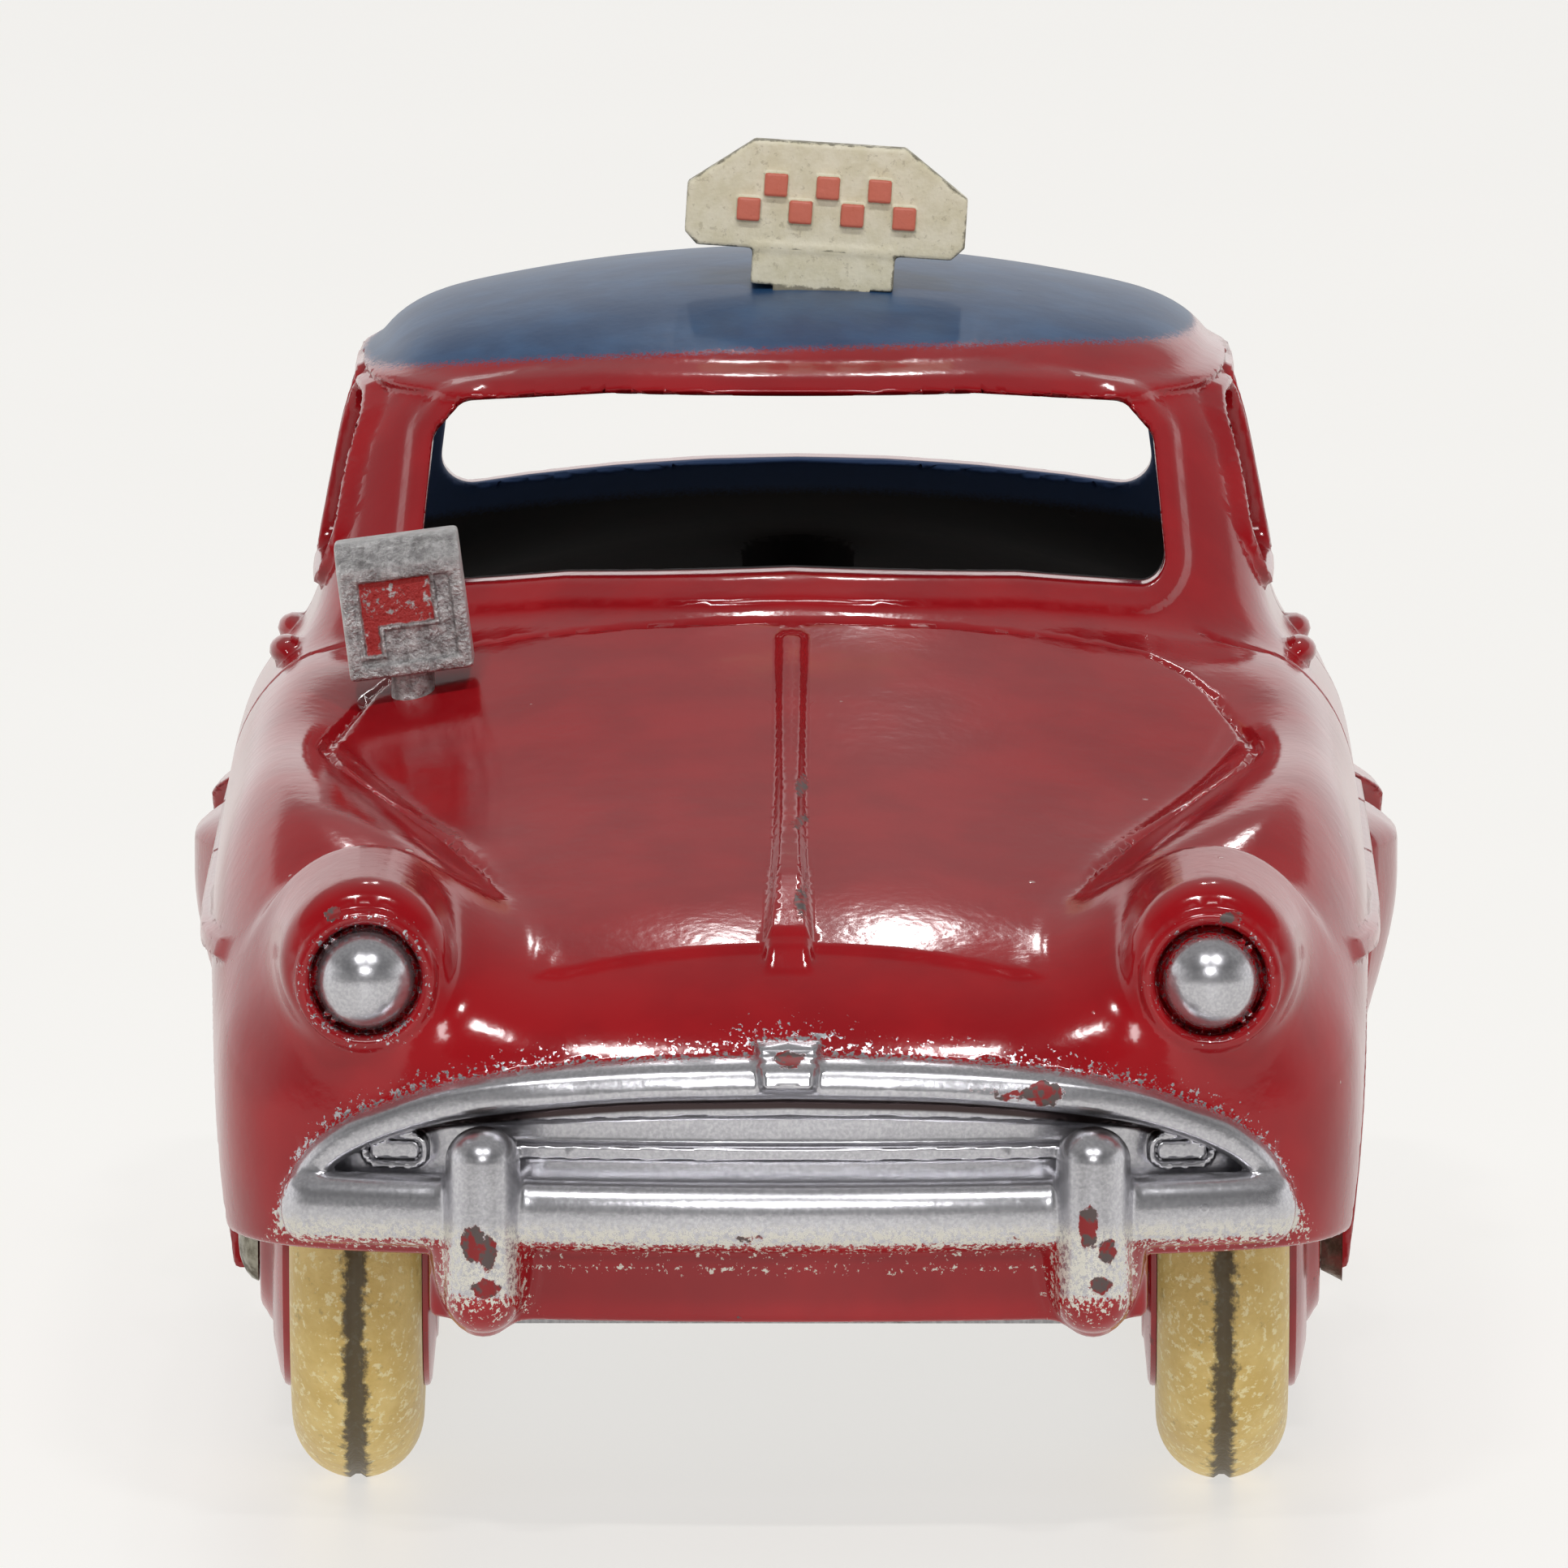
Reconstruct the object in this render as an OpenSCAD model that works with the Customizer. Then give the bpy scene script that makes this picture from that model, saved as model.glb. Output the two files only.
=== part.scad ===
// Die-cast toy saloon taxi, about 1:43: hollow body casting on a tin base with turning wheels

/* [Casting] */
// length over the overriders
body_l = 95; // [92:0.5:98]
// width across the doors
body_w = 34.6; // [34.2:0.1:35.2]
// underside of the sills
sill_z = 5.2; // [5:0.1:5.6]
// height of the waistline
belt_z = 23.4; // [23:0.1:24]
// height of the roof crest
roof_z = 33.3; // [32.8:0.1:34]
// wall thickness of the casting
wall = 1.3; // [1.2:0.05:1.4]
// height of beads, ribs and mouldings
relief = 0.35; // [0.25:0.05:0.45]
// extra half width of the rear wheel covers
cover_out = 1.8; // [1.4:0.1:2]

/* [Windows] */
// half width of the windscreen at its lower edge
screen_w = 11.4; // [10.8:0.1:11.6]
// lower edge of the windscreen in the middle
screen_low = 25.4; // [25.2:0.1:25.8]
// upper edge of the windscreen
screen_top = 30.1; // [29.7:0.1:30.3]
// lower edge of the door windows
door_low = 24.6; // [24.5:0.1:25]
// upper edge of the door windows
door_top = 29.7; // [29.2:0.1:30]

/* [Nose] */
// distance of each lamp from the middle
lamp_x = 12.35; // [12:0.05:12.8]
// height of the lamps
lamp_z = 16.4; // [15.9:0.1:16.7]
// underside of the front valance
valance_z = 6.5; // [6.2:0.1:6.8]
// radius of the lamp glass
lamp_r = 1.4; // [1.2:0.05:1.6]
// distance of each overrider from the middle
over_x = 8.9; // [8.4:0.1:9.6]
// height of the bumper bar centre
bumper_z = 9.75; // [9.5:0.05:10]

/* [Running gear] */
// distance between the axles
wheelbase = 56.5; // [55:0.5:58]
// distance from the front end to the front axle
front_over = 17; // [16.5:0.25:17.5]
// radius of the tyres
tyre_r = 7.25; // [7:0.05:7.4]
// width of the tyres
tyre_w = 3.9; // [3.6:0.1:4]
// distance of the tyre centres from the middle
tyre_x = 12.83; // [12.7:0.05:12.9]
// radius of the tyre seat on the hub
seat_r = 4.1; // [3.8:0.1:4.3]
// diameter of the axles
axle_d = 1.6; // [1.4:0.1:1.8]
// radius of the axle heads
head_r = 1.4; // [1.3:0.05:1.5]
// running clearance around the axles
run_gap = 0.05; // [0.03:0.01:0.08]

/* [Base] */
// thickness of the tin base
base_t = 0.6; // [0.5:0.05:0.7]
// underside of the tin base
base_z = 5; // [4.9:0.05:5.2]
// half width of the base between the wheels
base_w = 9.6; // [9.2:0.1:9.8]
// diameter of the post spigots
spigot_d = 1.6; // [1.4:0.1:1.8]

/* [Taxi fittings] */
// width of the roof sign plate
sign_w = 8.65; // [8:0.05:9.2]
// height of the roof sign plate
sign_h = 3.46; // [3.2:0.02:3.8]
// thickness of the roof sign plate
sign_t = 0.9; // [0.7:0.05:1.1]
// width of the meter box
meter_w = 3.75; // [3.5:0.05:4.1]
// height of the meter box
meter_h = 4.15; // [3.8:0.05:4.4]
// depth of the meter box
meter_d = 2.2; // [1.8:0.1:2.4]

/* [Hidden] */
// facets of the skin along its length, at its ends and round it
rings = 32;
fan = 5;
seg = 42;
// half width along the length, whose stations give the drawn length and width
side_keys = [[-47.5, 14.4], [-43, 16.1], [-38, 16.9], [-30, 17.2], [-10, 17.3],
  [12, 17.3], [30, 17.1], [38, 16.5], [43, 15.6], [47.5, 14]];
stretch = body_l / (side_keys[len(side_keys) - 1][0] - side_keys[0][0]);
wide = body_w / (2 * max([for (k = side_keys) k[1]]));
// depth of the cabin below the waistline, outside and inside
sunk_out = 0.9;
sunk_in = 6;
// axles and wheels
front_y = -body_l / 2 + front_over;
rear_y = front_y + wheelbase;
rear_at = rear_y / stretch;
axle_z = tyre_r;
head_t = 0.63;
hub_out = 2.9;
hub_in = 2.5;
hub_end = tyre_x + hub_out;
arch_gap = 1.15;
arch_r = tyre_r + arch_gap;
arch_in = tyre_x - tyre_w / 2 - 0.4;
arch_out = body_w / 2 + cover_out + 2;
// lugs and the bridge that carry the axles
lug_t = 2;
lug_w = 4.4;
lug_gap = 1.93;
lug_x = tyre_x - hub_in - lug_gap - lug_t / 2;
lug_z = base_z + base_t + 0.3;
bridge_t = 2;
bridge_z = axle_z + arch_r + 0.5;
bridge_w = wide * curve(side_keys, rear_at) - wall + 0.4;
// posts and edges of the base
post_d = 3.6;
head_in = 0.1;
head_out = 0.5;
front_post = front_y + 7.5;
rear_post = (rear_y + body_l / 2) / 2;
base_lead = 3.4;
base_tail = 3;
base_side = body_w / 2 - wall - 1.4;
rib_x = 5;
rib_w = 1.6;
rib_h = 0.5;
// clearances
fit_gap = 0.02;
side_gap = 0.05;
// nose at the drawn length
tail_z = 6.2;
corner_z = 8.35;
corner_x = over_x + 1.5;
corner_y = -36;
lamp_y = -44.2;
bar_r = 41.4;
bar_h = 2;
bar_d = 1.9;
bar_half = 14.3;
bar_y = -46.3;
back_r = 41.2;
back_d = 1.6;
back_half = 13.6;
back_y = 46.7;
tip_fit = 0.93;
over_w = 2.2;
over_d = 2.9;
over_y = -46.05;
over_low = 7.2;
over_top = 11.3;
root_w = 3;
root_d = 2.6;
root_h = 5;
band_half = 14.7;
band_top = 13.7;
band_h = 1.2;
band_d = 1;
bend = 2.2;
grille_half = 13.8;
grille_top = 13.05;
floor_r = 40.3;
panel = 0.15;
lip_y = -41.8;
lip_half = 7.3;
lip_w = 0.6;
// door handles
handle_x = 15.45 * wide;
handle_y = [-8, 3.6];
// roof sign
sign_x = 0.85;
sign_y = 1.8 * stretch;
sign_tilt = 3.7;
sign_cut = [2, 1.45];
sign_base = 0.1;
foot_w = 4.4;
foot_d = 2;
foot_h = 1.3;
tab_w = 3;
tab_h = 2;
check = 0.8;
check_gap = 0.08;
check_out = 0.2;
check_z = 0.95;
// taxi meter
meter_x = -11.4 * wide;
meter_y = -18.6 * stretch;
meter_up = 0.65;
meter_roll = -7.5;
meter_cut = 0.8;
meter_rim = 0.42;
face_in = 0.2;
flag = [2.2, 1.4];
pole = [0.5, 0.85];
flag_x = -1.3;
flag_z = 0.72;
stem_d = 1.3;
stem_in = 2.4;

// Smooth curve through [position, value] keys
function span(k, y, i = 0) = i >= len(k) - 2 || y < k[i + 1][0] ? i : span(k, y, i + 1);
function rise(k, i) = let(a = max(i - 1, 0), b = min(i + 1, len(k) - 1))
  (k[b][1] - k[a][1]) / (k[b][0] - k[a][0]);
function curve(k, y) =
  y <= k[0][0] ? k[0][1] :
  y >= k[len(k) - 1][0] ? k[len(k) - 1][1] :
  let(i = span(k, y), h = k[i + 1][0] - k[i][0], t = (y - k[i][0]) / h, u = 1 - t)
  (1 + 2 * t) * u * u * k[i][1] + t * u * u * h * rise(k, i)
  + t * t * (3 - 2 * t) * k[i + 1][1] - t * t * u * h * rise(k, i + 1);

// Rounded joins of two fields, k is the size of the rounding
function smax(a, b, k) = let(h = max(k - abs(a - b), 0) / k) max(a, b) + h * h * k / 4;
function smin(a, b, k) = -smax(-a, -b, k);
function step3(a, b, v) = let(t = min(max((v - a) / (b - a), 0), 1)) t * t * (3 - 2 * t);

// Driving curves along the length
hood_keys = [[-47, 14.2], [-45, 16.1], [-42.8, 17.2], [-36, 19], [-28, 20.9], [-16.5, 23.9],
  [-12, 24.4], [26, 24.4], [30, 24.2], [36, 23], [42, 20.4], [46, 16.6]];
crown_keys = [[-43, 0.003], [-36, 0.009], [-16, 0.009], [-8, 0.0085], [4, 0.011], [20, 0.0165],
  [32, 0.0165], [40, 0.01]];
crest_x_keys = [[-46, 11.6], [-41.5, 12.5], [-30, 15], [-22, 15.3], [-12, 14.5], [25, 14.3],
  [36, 13.6], [45, 12]];
crest_z_keys = [[-47, 16], [-44.5, 18.2], [-41.5, 18.9], [-30, 20.9], [-22, 21.5],
  [-14, 22.5], [-6, 22.7], [4, 22.3], [14, 21.5], [24, 20.6], [34, 19.6], [42, 18.2], [46, 15.8]];
nose_keys = [[5, -45.6], [8, -46], [13.6, -46], [15.6, -45.2], [17.4, -43.4], [20, -39.5]];
tail_keys = [[5, 45.8], [9, 46.6], [14, 46.4], [18, 44.6], [22, 40]];
cabin_keys = [[-25, -0.6], [-18, -0.12], [-13.5, 0.19], [-10, 0.435], [-6.5, 0.677], [-4.5, 0.793],
  [-1, 0.909], [4, 0.98], [9, 1], [15, 0.955], [20, 0.828], [24, 0.616], [29.5, 0.152], [33, -0.14],
  [38, -0.6]];

// Half width of the lower body
function half_w(y, z) = wide * curve(side_keys, y)
  - (z < 12.5 ? (0.5 + 0.9 * step3(-36, -45, y)) * pow((z - 12.5) / 7, 2) : 0)
  - (z > 16.4 ? 0.6 * pow((z - 16.4) / 4.6, 2) : 0)
  + cover_out * step3(-15, -7, y - rear_at) * step3(17, 8, y - rear_at)
    * step3(15.6, 13.2, z) * (0.25 + 0.75 * step3(4.5, 13, z));

// Height of bonnet, boot and wing crests
function top_z(x, y) = let(cx = curve(crest_x_keys, y), d = x - cx)
  smax(curve(hood_keys, y) - curve(crown_keys, y) * x * x,
    curve(crest_z_keys, y) - pow(d / (d < 0 ? 3.6 : 1.7), 2), 1.2);

// Height of the bonnet or boot at a place on the finished body
function deck_z(x, y) = top_z(abs(x), y / stretch) + 0.2;
sign_z = belt_z + (roof_z - belt_z) * curve(cabin_keys, sign_y / stretch) - 0.1;
meter_z = top_z(abs(meter_x), meter_y / stretch) + meter_up;

// Field of the lower body without its underside
function lower(x, y, z) = let(bow = 0.012 * x * x)
  smax(smax(x - half_w(y, z), 0.93 * (z - top_z(x, y)), 2.2),
    smax(0.95 * (curve(nose_keys, z) + bow - y), 0.95 * (y - curve(tail_keys, z) + bow), 1), 3);

// Field of the cabin
function cabin(x, y, z) = let(ye = 7 + (y - 7) * (1 + 0.001 * x * x))
  smax(x - wide * (14.25 - 0.19 * (z - 25.7)) + 0.0022 * pow(max(abs(y - 6) - 4, 0), 2),
    0.84 * (z - belt_z - (roof_z - belt_z) * curve(cabin_keys, ye) + 0.0105 * x * x), 2.4);

// Field of the whole body, negative inside, with the cabin let down into it
function body(x, y, z, sunk) = smin(lower(x, y, z), max(cabin(x, y, z), belt_z - sunk - z), 1.1);
function field(p, grow, low) = max(body(abs(p.x), p.y, p.z, grow < 0 ? sunk_in : sunk_out) - grow, low - p.z);

// Distance from an inner point to the skin along one direction
function reach(o, d, grow, low, a = 3, fa = -9, b = 33, fb = 9, n = 8) =
  let(m = n > 3 ? (a + b) / 2 : a + (b - a) * fa / (fa - fb))
  n == 0 ? m :
  let(f = field(o + m * d, grow, low))
  f > 0 ? reach(o, d, grow, low, a, fa, m, f, n - 1) : reach(o, d, grow, low, m, f, b, fb, n - 1);

// Skin of the body as a loft of rings along a spine with fanned ends
module skin(grow, low, rings, fan, seg) {
  y0 = -38;
  y1 = 38;
  half = seg / 2;
  pos = concat([for (i = [1 : fan]) [y0, -90 + 90 * i / (fan + 1)]],
    [for (i = [0 : rings]) [y0 + (y1 - y0) * i / rings, 0]],
    [for (i = [1 : fan]) [y1, 90 * i / (fan + 1)]]);
  n = len(pos);
  rim = [for (s = pos) let(o = [0, s[0], 12])
    let(right = [for (j = [0 : half]) let(a = -90 + 180 * j / half,
      d = [cos(a) * cos(s[1]), sin(s[1]), sin(a) * cos(s[1])]) o + reach(o, d, grow, low) * d])
    concat(right, [for (j = [half - 1 : -1 : 1]) [-right[j].x, right[j].y, right[j].z]])];
  p0 = [0, y0, 12];
  p1 = [0, y1, 12];
  nose = p0 + reach(p0, [0, -1, 0], grow, low) * [0, -1, 0];
  tail = p1 + reach(p1, [0, 1, 0], grow, low) * [0, 1, 0];
  pts = concat([nose], [for (r = rim) each r], [tail]);
  polyhedron(pts, concat(
    [for (j = [0 : seg - 1]) [0, 1 + (j + 1) % seg, 1 + j]],
    [for (i = [0 : n - 2]) for (j = [0 : seg - 1]) let(a = 1 + i * seg + j, b = 1 + i * seg + (j + 1) % seg)
      each [[a, b, a + seg], [b, b + seg, a + seg]]],
    [for (j = [0 : seg - 1]) [n * seg + 1, 1 + (n - 1) * seg + j, 1 + (n - 1) * seg + (j + 1) % seg]]),
    convexity = 8);
}

// Outline seen from the front, extruded along the length
module from_front(y0, y1) {
  translate([0, y1, 0]) rotate([90, 0, 0]) linear_extrude(y1 - y0) children();
}

// Outline seen from the side, extruded across the body
module from_side(x0, x1) {
  translate([x0, 0, 0]) rotate([90, 0, 90]) linear_extrude(x1 - x0) children();
}

// Rounded windscreen outline with a drooping lower edge
module screen_outline(grow) {
  offset(r = 0.7 + grow, $fn = 16) offset(delta = -0.7)
    polygon([[-screen_w, screen_low - 0.75], [-screen_w * 0.6, screen_low - 0.25], [0, screen_low],
      [screen_w * 0.6, screen_low - 0.25], [screen_w, screen_low - 0.75],
      [screen_w - 0.4, screen_top - 1.3], [screen_w - 1.3, screen_top - 0.35],
      [screen_w * 0.5, screen_top], [-screen_w * 0.5, screen_top],
      [1.3 - screen_w, screen_top - 0.35], [0.4 - screen_w, screen_top - 1.3]]);
}

// Rounded rear window outline
module rear_outline(grow) {
  offset(r = 1 + grow, $fn = 16) offset(delta = -1)
    polygon([[-screen_w, door_low - 0.3], [0, door_low + 0.4], [screen_w, door_low - 0.3],
      [screen_w - 0.7, door_top], [0, door_top + 0.3], [0.7 - screen_w, door_top]]);
}

// Front and rear door windows seen from the side
module door_outline(grow) {
  offset(r = 0.8 + grow, $fn = 16) offset(delta = -0.8)
    polygon([[-7, door_low], [2.6, door_low], [2.6, door_top], [-0.8, door_top - 0.1],
      [-2.2, door_top - 0.7]]);
  offset(r = 0.8 + grow, $fn = 16) offset(delta = -0.8)
    polygon([[4.4, door_low], [19.6, door_low], [18.6, door_top - 2.2], [15.4, door_top - 0.2],
      [4.4, door_top]]);
}

// Flattened arch over the bumper as points [x, z], from left to right
function arch(half, top, n) = [for (i = [0 : n]) let(a = 180 - 180 * i / n)
  [half * sign(cos(a)) * pow(abs(cos(a)), 2 / bend), bumper_z + (top - bumper_z) * pow(sin(a), 2 / bend)]];

// Point of the nose skin seen from the front at x and z
function on_nose(x, z) = let(o = [x, -38, z], d = [0, -1, 0]) o + reach(o, d, 0, 0) * d;

// Grille band swept along its arch on the nose
module grille_band() {
  sides = 8;
  path = [for (p = arch(band_half, band_top, 32)) on_nose(p[0], p[1])];
  n = len(path);
  pts = [for (i = [0 : n - 1]) let(run = path[min(i + 1, n - 1)] - path[max(i - 1, 0)],
    up = cross([0, -1, 0], run), out = cross(run, up))
    for (j = [0 : sides - 1]) path[i] + band_h / 2 * cos(360 * j / sides) * up / norm(up)
      + band_d / 2 * sin(360 * j / sides) * out / norm(out)];
  polyhedron(pts, concat([[for (j = [0 : sides - 1]) j]],
    [for (i = [0 : n - 2]) for (j = [0 : sides - 1]) let(a = i * sides + j, b = i * sides + (j + 1) % sides)
      each [[a, a + sides, b + sides], [a, b + sides, b]]],
    [[for (j = [sides - 1 : -1 : 0]) (n - 1) * sides + j]]), convexity = 6);
}

// Opening below the grille band seen from the front, round its bar and side lamps
module grille_outline() {
  difference() {
    intersection() {
      polygon(arch(grille_half, grille_top, 32));
      translate([-grille_half, bumper_z + 0.3]) square([2 * grille_half, 5]);
    }
    translate([-8.4, bumper_z + 1.55]) square([16.8, 0.42]);
    for (s = [-1, 1]) translate([s * 11.5, bumper_z + 1.7]) resize([2.1, 1]) circle(1, $fn = 24);
  }
}

// Bonnet panel seen from above
module bonnet_outline() {
  half = [[8.5, -15.2], [11, -15.5], [12.7, -18], [13.9, -23.4], [13.6, -25.8], [11.5, -29.2], [9, -35.2],
    [lip_half, lip_y - 0.7]];
  other = [for (i = [len(half) - 1 : -1 : 0]) [-half[i].x, half[i].y]];
  polygon(concat([[0, -16.1]], half, [[0, lip_y]], other));
}

// Lip along the front of the bonnet seen from above
module lip_outline() {
  n = 10;
  edge = [for (i = [0 : n]) let(x = lip_half * (2 * i / n - 1)) [x, lip_y - 0.013 * x * x]];
  polygon(concat(edge, [for (i = [n : -1 : 0]) edge[i] - [0, lip_w]]));
}

// Bar bent round the nose, as a ring section
module bent_bar(r, h, d, half) {
  a = asin(half / r);
  rotate([0, 0, -90 - a]) rotate_extrude(angle = 2 * a, $fn = 100)
    translate([r, 0]) resize([d, h]) circle(1, $fn = 14);
  for (s = [-1, 1]) rotate([0, 0, s * a]) translate([0, -r, 0])
    resize([d * tip_fit, d * tip_fit, h * tip_fit]) sphere(1, $fn = 12);
}

// Lamp surround as a turned mound with a ring round the glass
module lamp_pod() {
  rotate([90, 0, 0]) rotate_extrude($fn = 26) {
    polygon([[0, -5], [2.95, -5], [2.8, -1.6], [2.65, -0.7], [2.4, -0.15], [2, 0], [0, 0]]);
    translate([1.87, 0]) circle(0.28, $fn = 6);
  }
}

// Overrider with rounded ends and a wider root
module overrider() {
  translate([0, 1, over_low + 1.3]) resize([root_w, root_d, root_h]) sphere(1, $fn = 14);
  translate([0, 0, over_low]) resize([over_w, over_d, 0])
    cylinder(r = 1, h = over_top - over_low, $fn = 16);
  for (z = [over_low, over_top]) translate([0, 0, z])
    resize([over_w, over_d, over_w * tip_fit]) sphere(1, $fn = 16);
}

// Freeform part of the casting at its drawn length
module casting() {
  difference() {
    union() {
      skin(0, sill_z - 3, rings, fan, seg);
      // bonnet panel stands a little proud
      intersection() {
        skin(panel, sill_z - 3, rings, fan, seg);
        linear_extrude(roof_z) bonnet_outline();
      }
      // ribs, beads and mouldings follow the skin
      intersection() {
        skin(relief, sill_z - 3, rings, fan, seg);
        union() {
          linear_extrude(roof_z) polygon([[-0.65, -41.6], [-0.4, -39.6], [-0.25, -32], [-0.35, -17],
            [0.35, -17], [0.25, -32], [0.4, -39.6], [0.65, -41.6]]);
          linear_extrude(roof_z) lip_outline();
          from_front(-18, -4) difference() {
            screen_outline(0.75);
            screen_outline(-0.1);
          }
          from_side(-20, 20) difference() {
            door_outline(0.4);
            door_outline(-0.1);
          }
          from_side(-20, 20) translate([-36, 16.1]) square([46, 0.6]);
          from_front(-50, -36) polygon([[-0.75, 12.9], [0.75, 12.9], [0.95, 14.8], [-0.95, 14.8]]);
        }
      }
      grille_band();
      for (s = [-1, 1]) translate([s * lamp_x, lamp_y, lamp_z]) lamp_pod();
      // bumpers
      translate([0, bar_y + bar_r, bumper_z]) bent_bar(bar_r, bar_h, bar_d, bar_half);
      translate([0, back_y - back_r, bumper_z]) rotate([0, 0, 180])
        bent_bar(back_r, bar_h, back_d, back_half);
      // door handles
      for (s = [-1, 1]) for (y = handle_y) translate([s * handle_x, y, top_z(handle_x, y) - 0.1])
        rotate([0, s * 40, 0]) resize([1.1, 2.6, 0.9]) sphere(1, $fn = 12);
    }
    skin(-wall, sill_z - 5, 19, 3, 30);
    // underside, higher under the nose and its corners
    from_side(-30, 30) polygon([[-60, -9], [-60, valance_z], [-34, valance_z], [-28, sill_z], [39, sill_z],
      [41, tail_z], [60, tail_z], [60, -9]]);
    for (s = [0, 1]) mirror([s, 0, 0]) from_front(-60, corner_y)
      translate([corner_x, -9]) square([body_w, 9 + corner_z]);
    from_front(-20, 0) screen_outline(0);
    from_front(16, 42) rear_outline(0);
    from_side(-20, 20) door_outline(0);
    // grille recess with a floor bent like the bumper
    difference() {
      from_front(-50, -38) grille_outline();
      translate([0, bar_y + bar_r, 0]) cylinder(r = floor_r, h = roof_z, $fn = 100);
    }
  }
  for (s = [-1, 1]) translate([s * over_x, over_y, 0]) overrider();
}

// Body casting with axle lugs, base posts and seats for the fittings
module body_shell() color([0.66, 0.12, 0.14]) difference() {
  union() {
    resize([0, body_l, 0]) casting();
    // lugs that carry the axles, under the bonnet and under a bridge across the rear
    for (s = [-1, 1]) {
      translate([s * lug_x - lug_t / 2, front_y - lug_w / 2, lug_z])
        cube([lug_t, lug_w, deck_z(lug_x, front_y) - wall - lug_z]);
      translate([s * lug_x - lug_t / 2, rear_y - lug_w / 2, lug_z])
        cube([lug_t, lug_w, bridge_z + bridge_t / 2 - lug_z]);
    }
    translate([-bridge_w, rear_y - lug_w / 2, bridge_z]) cube([2 * bridge_w, lug_w, bridge_t]);
    // lamp glasses
    for (s = [-1, 1]) translate([s * lamp_x, lamp_y * stretch, lamp_z]) sphere(lamp_r, $fn = 48);
    // posts that hold the base
    for (y = [front_post, rear_post]) {
      translate([0, y, base_z + base_t])
        cylinder(d = post_d, h = deck_z(0, y) - wall - base_z - base_t, $fn = 48);
      translate([0, y, base_z + head_in]) cylinder(d = spigot_d, h = base_t + 1, $fn = 48);
      translate([0, y, base_z + head_in])
        cylinder(d = spigot_d + 2 * head_out, h = base_t / 2 - head_in, $fn = 48);
    }
  }
  // bores for the axles
  for (y = [front_y, rear_y]) translate([-arch_in, y, axle_z]) rotate([0, 90, 0])
    cylinder(d = axle_d + 2 * run_gap, h = 2 * arch_in, $fn = 48);
  // wheel arches
  for (y = [front_y, rear_y]) for (s = [-1, 1]) translate([s * arch_in, y, axle_z]) rotate([0, s * 90, 0])
    cylinder(r = arch_r, h = arch_out - arch_in, $fn = 96);
  // seats of the sign and the meter
  translate([sign_x, sign_y, sign_z]) {
    translate([-tab_w / 2 - fit_gap, -foot_d / 2 - fit_gap, -2 * tab_h])
      cube([tab_w + 2 * fit_gap, foot_d + 2 * fit_gap, 3 * tab_h]);
    rotate([0, sign_tilt, 0]) translate([-foot_w / 2 - fit_gap, -foot_d / 2 - fit_gap, -fit_gap])
      cube([foot_w + 2 * fit_gap, foot_d + 2 * fit_gap, tab_h]);
  }
  translate([meter_x, meter_y, meter_z - 2 * stem_in])
    cylinder(d = stem_d + 2 * fit_gap, h = 3 * stem_in, $fn = 32);
}

// Pressed tin base, held by the posts of the casting
module base_plate() color([0.55, 0.55, 0.57]) difference() {
  translate([0, 0, base_z]) union() {
    translate([-base_w, front_y - base_lead, 0])
      cube([2 * base_w, rear_post + base_tail - front_y + base_lead, base_t]);
    translate([-base_side, front_y + arch_r + arch_gap, 0])
      cube([2 * base_side, wheelbase - 2 * arch_r - 2 * arch_gap, base_t]);
    // stiffening ribs
    for (x = [-rib_x, rib_x]) translate([x - rib_w / 2, front_post + post_d, base_t])
      cube([rib_w, rear_y - lug_w - front_post - post_d, rib_h]);
  }
  for (y = [front_post, rear_post]) translate([0, y, base_z - base_t]) {
    cylinder(d = spigot_d + 2 * fit_gap, h = 3 * base_t, $fn = 48);
    cylinder(d = spigot_d + 2 * head_out + 2 * fit_gap, h = 1.5 * base_t, $fn = 48);
  }
}

// Axle with one domed head and one flared head
module axle(y) color([0.6, 0.6, 0.58]) translate([0, y, axle_z]) rotate([0, 90, 0]) rotate_extrude($fn = 64)
  polygon([[0, -hub_end - side_gap - head_t], [head_r * 0.45, -hub_end - side_gap - head_t * 0.93],
    [head_r * 0.8, -hub_end - side_gap - head_t * 0.62], [head_r, -hub_end - side_gap - head_t * 0.1],
    [head_r, -hub_end - side_gap], [axle_d / 2, -hub_end - side_gap], [axle_d / 2, hub_end + side_gap],
    [head_r * 0.75, hub_end + side_gap], [head_r, hub_end + side_gap + head_t],
    [head_r * 0.55, hub_end + side_gap + head_t * 0.6], [0, hub_end + side_gap + head_t * 0.5]]);

// Wheel hub with a seat for the tyre between two domed faces
module wheel(side, y) color([0.62, 0.11, 0.13]) translate([side * tyre_x, y, axle_z])
  rotate([0, side * 90, 0]) rotate_extrude($fn = 64) {
    w = tyre_w / 2 + fit_gap;
    polygon([[axle_d / 2 + run_gap, -hub_in], [2, -hub_in], [2.3, -hub_in + 0.2],
      [3.1, -w - 0.35], [seat_r + 0.4, -w - 0.2], [seat_r + 0.4, -w], [seat_r, -w], [seat_r, w],
      [seat_r + 0.4, w], [seat_r + 0.4, w + 0.2], [seat_r, w + 0.35], [3.1, w + 0.55], [3, w + 0.4],
      [2.7, w + 0.45], [2.2, hub_out - 0.1], [2, hub_out], [axle_d / 2 + run_gap, hub_out]]);
  }

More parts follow.
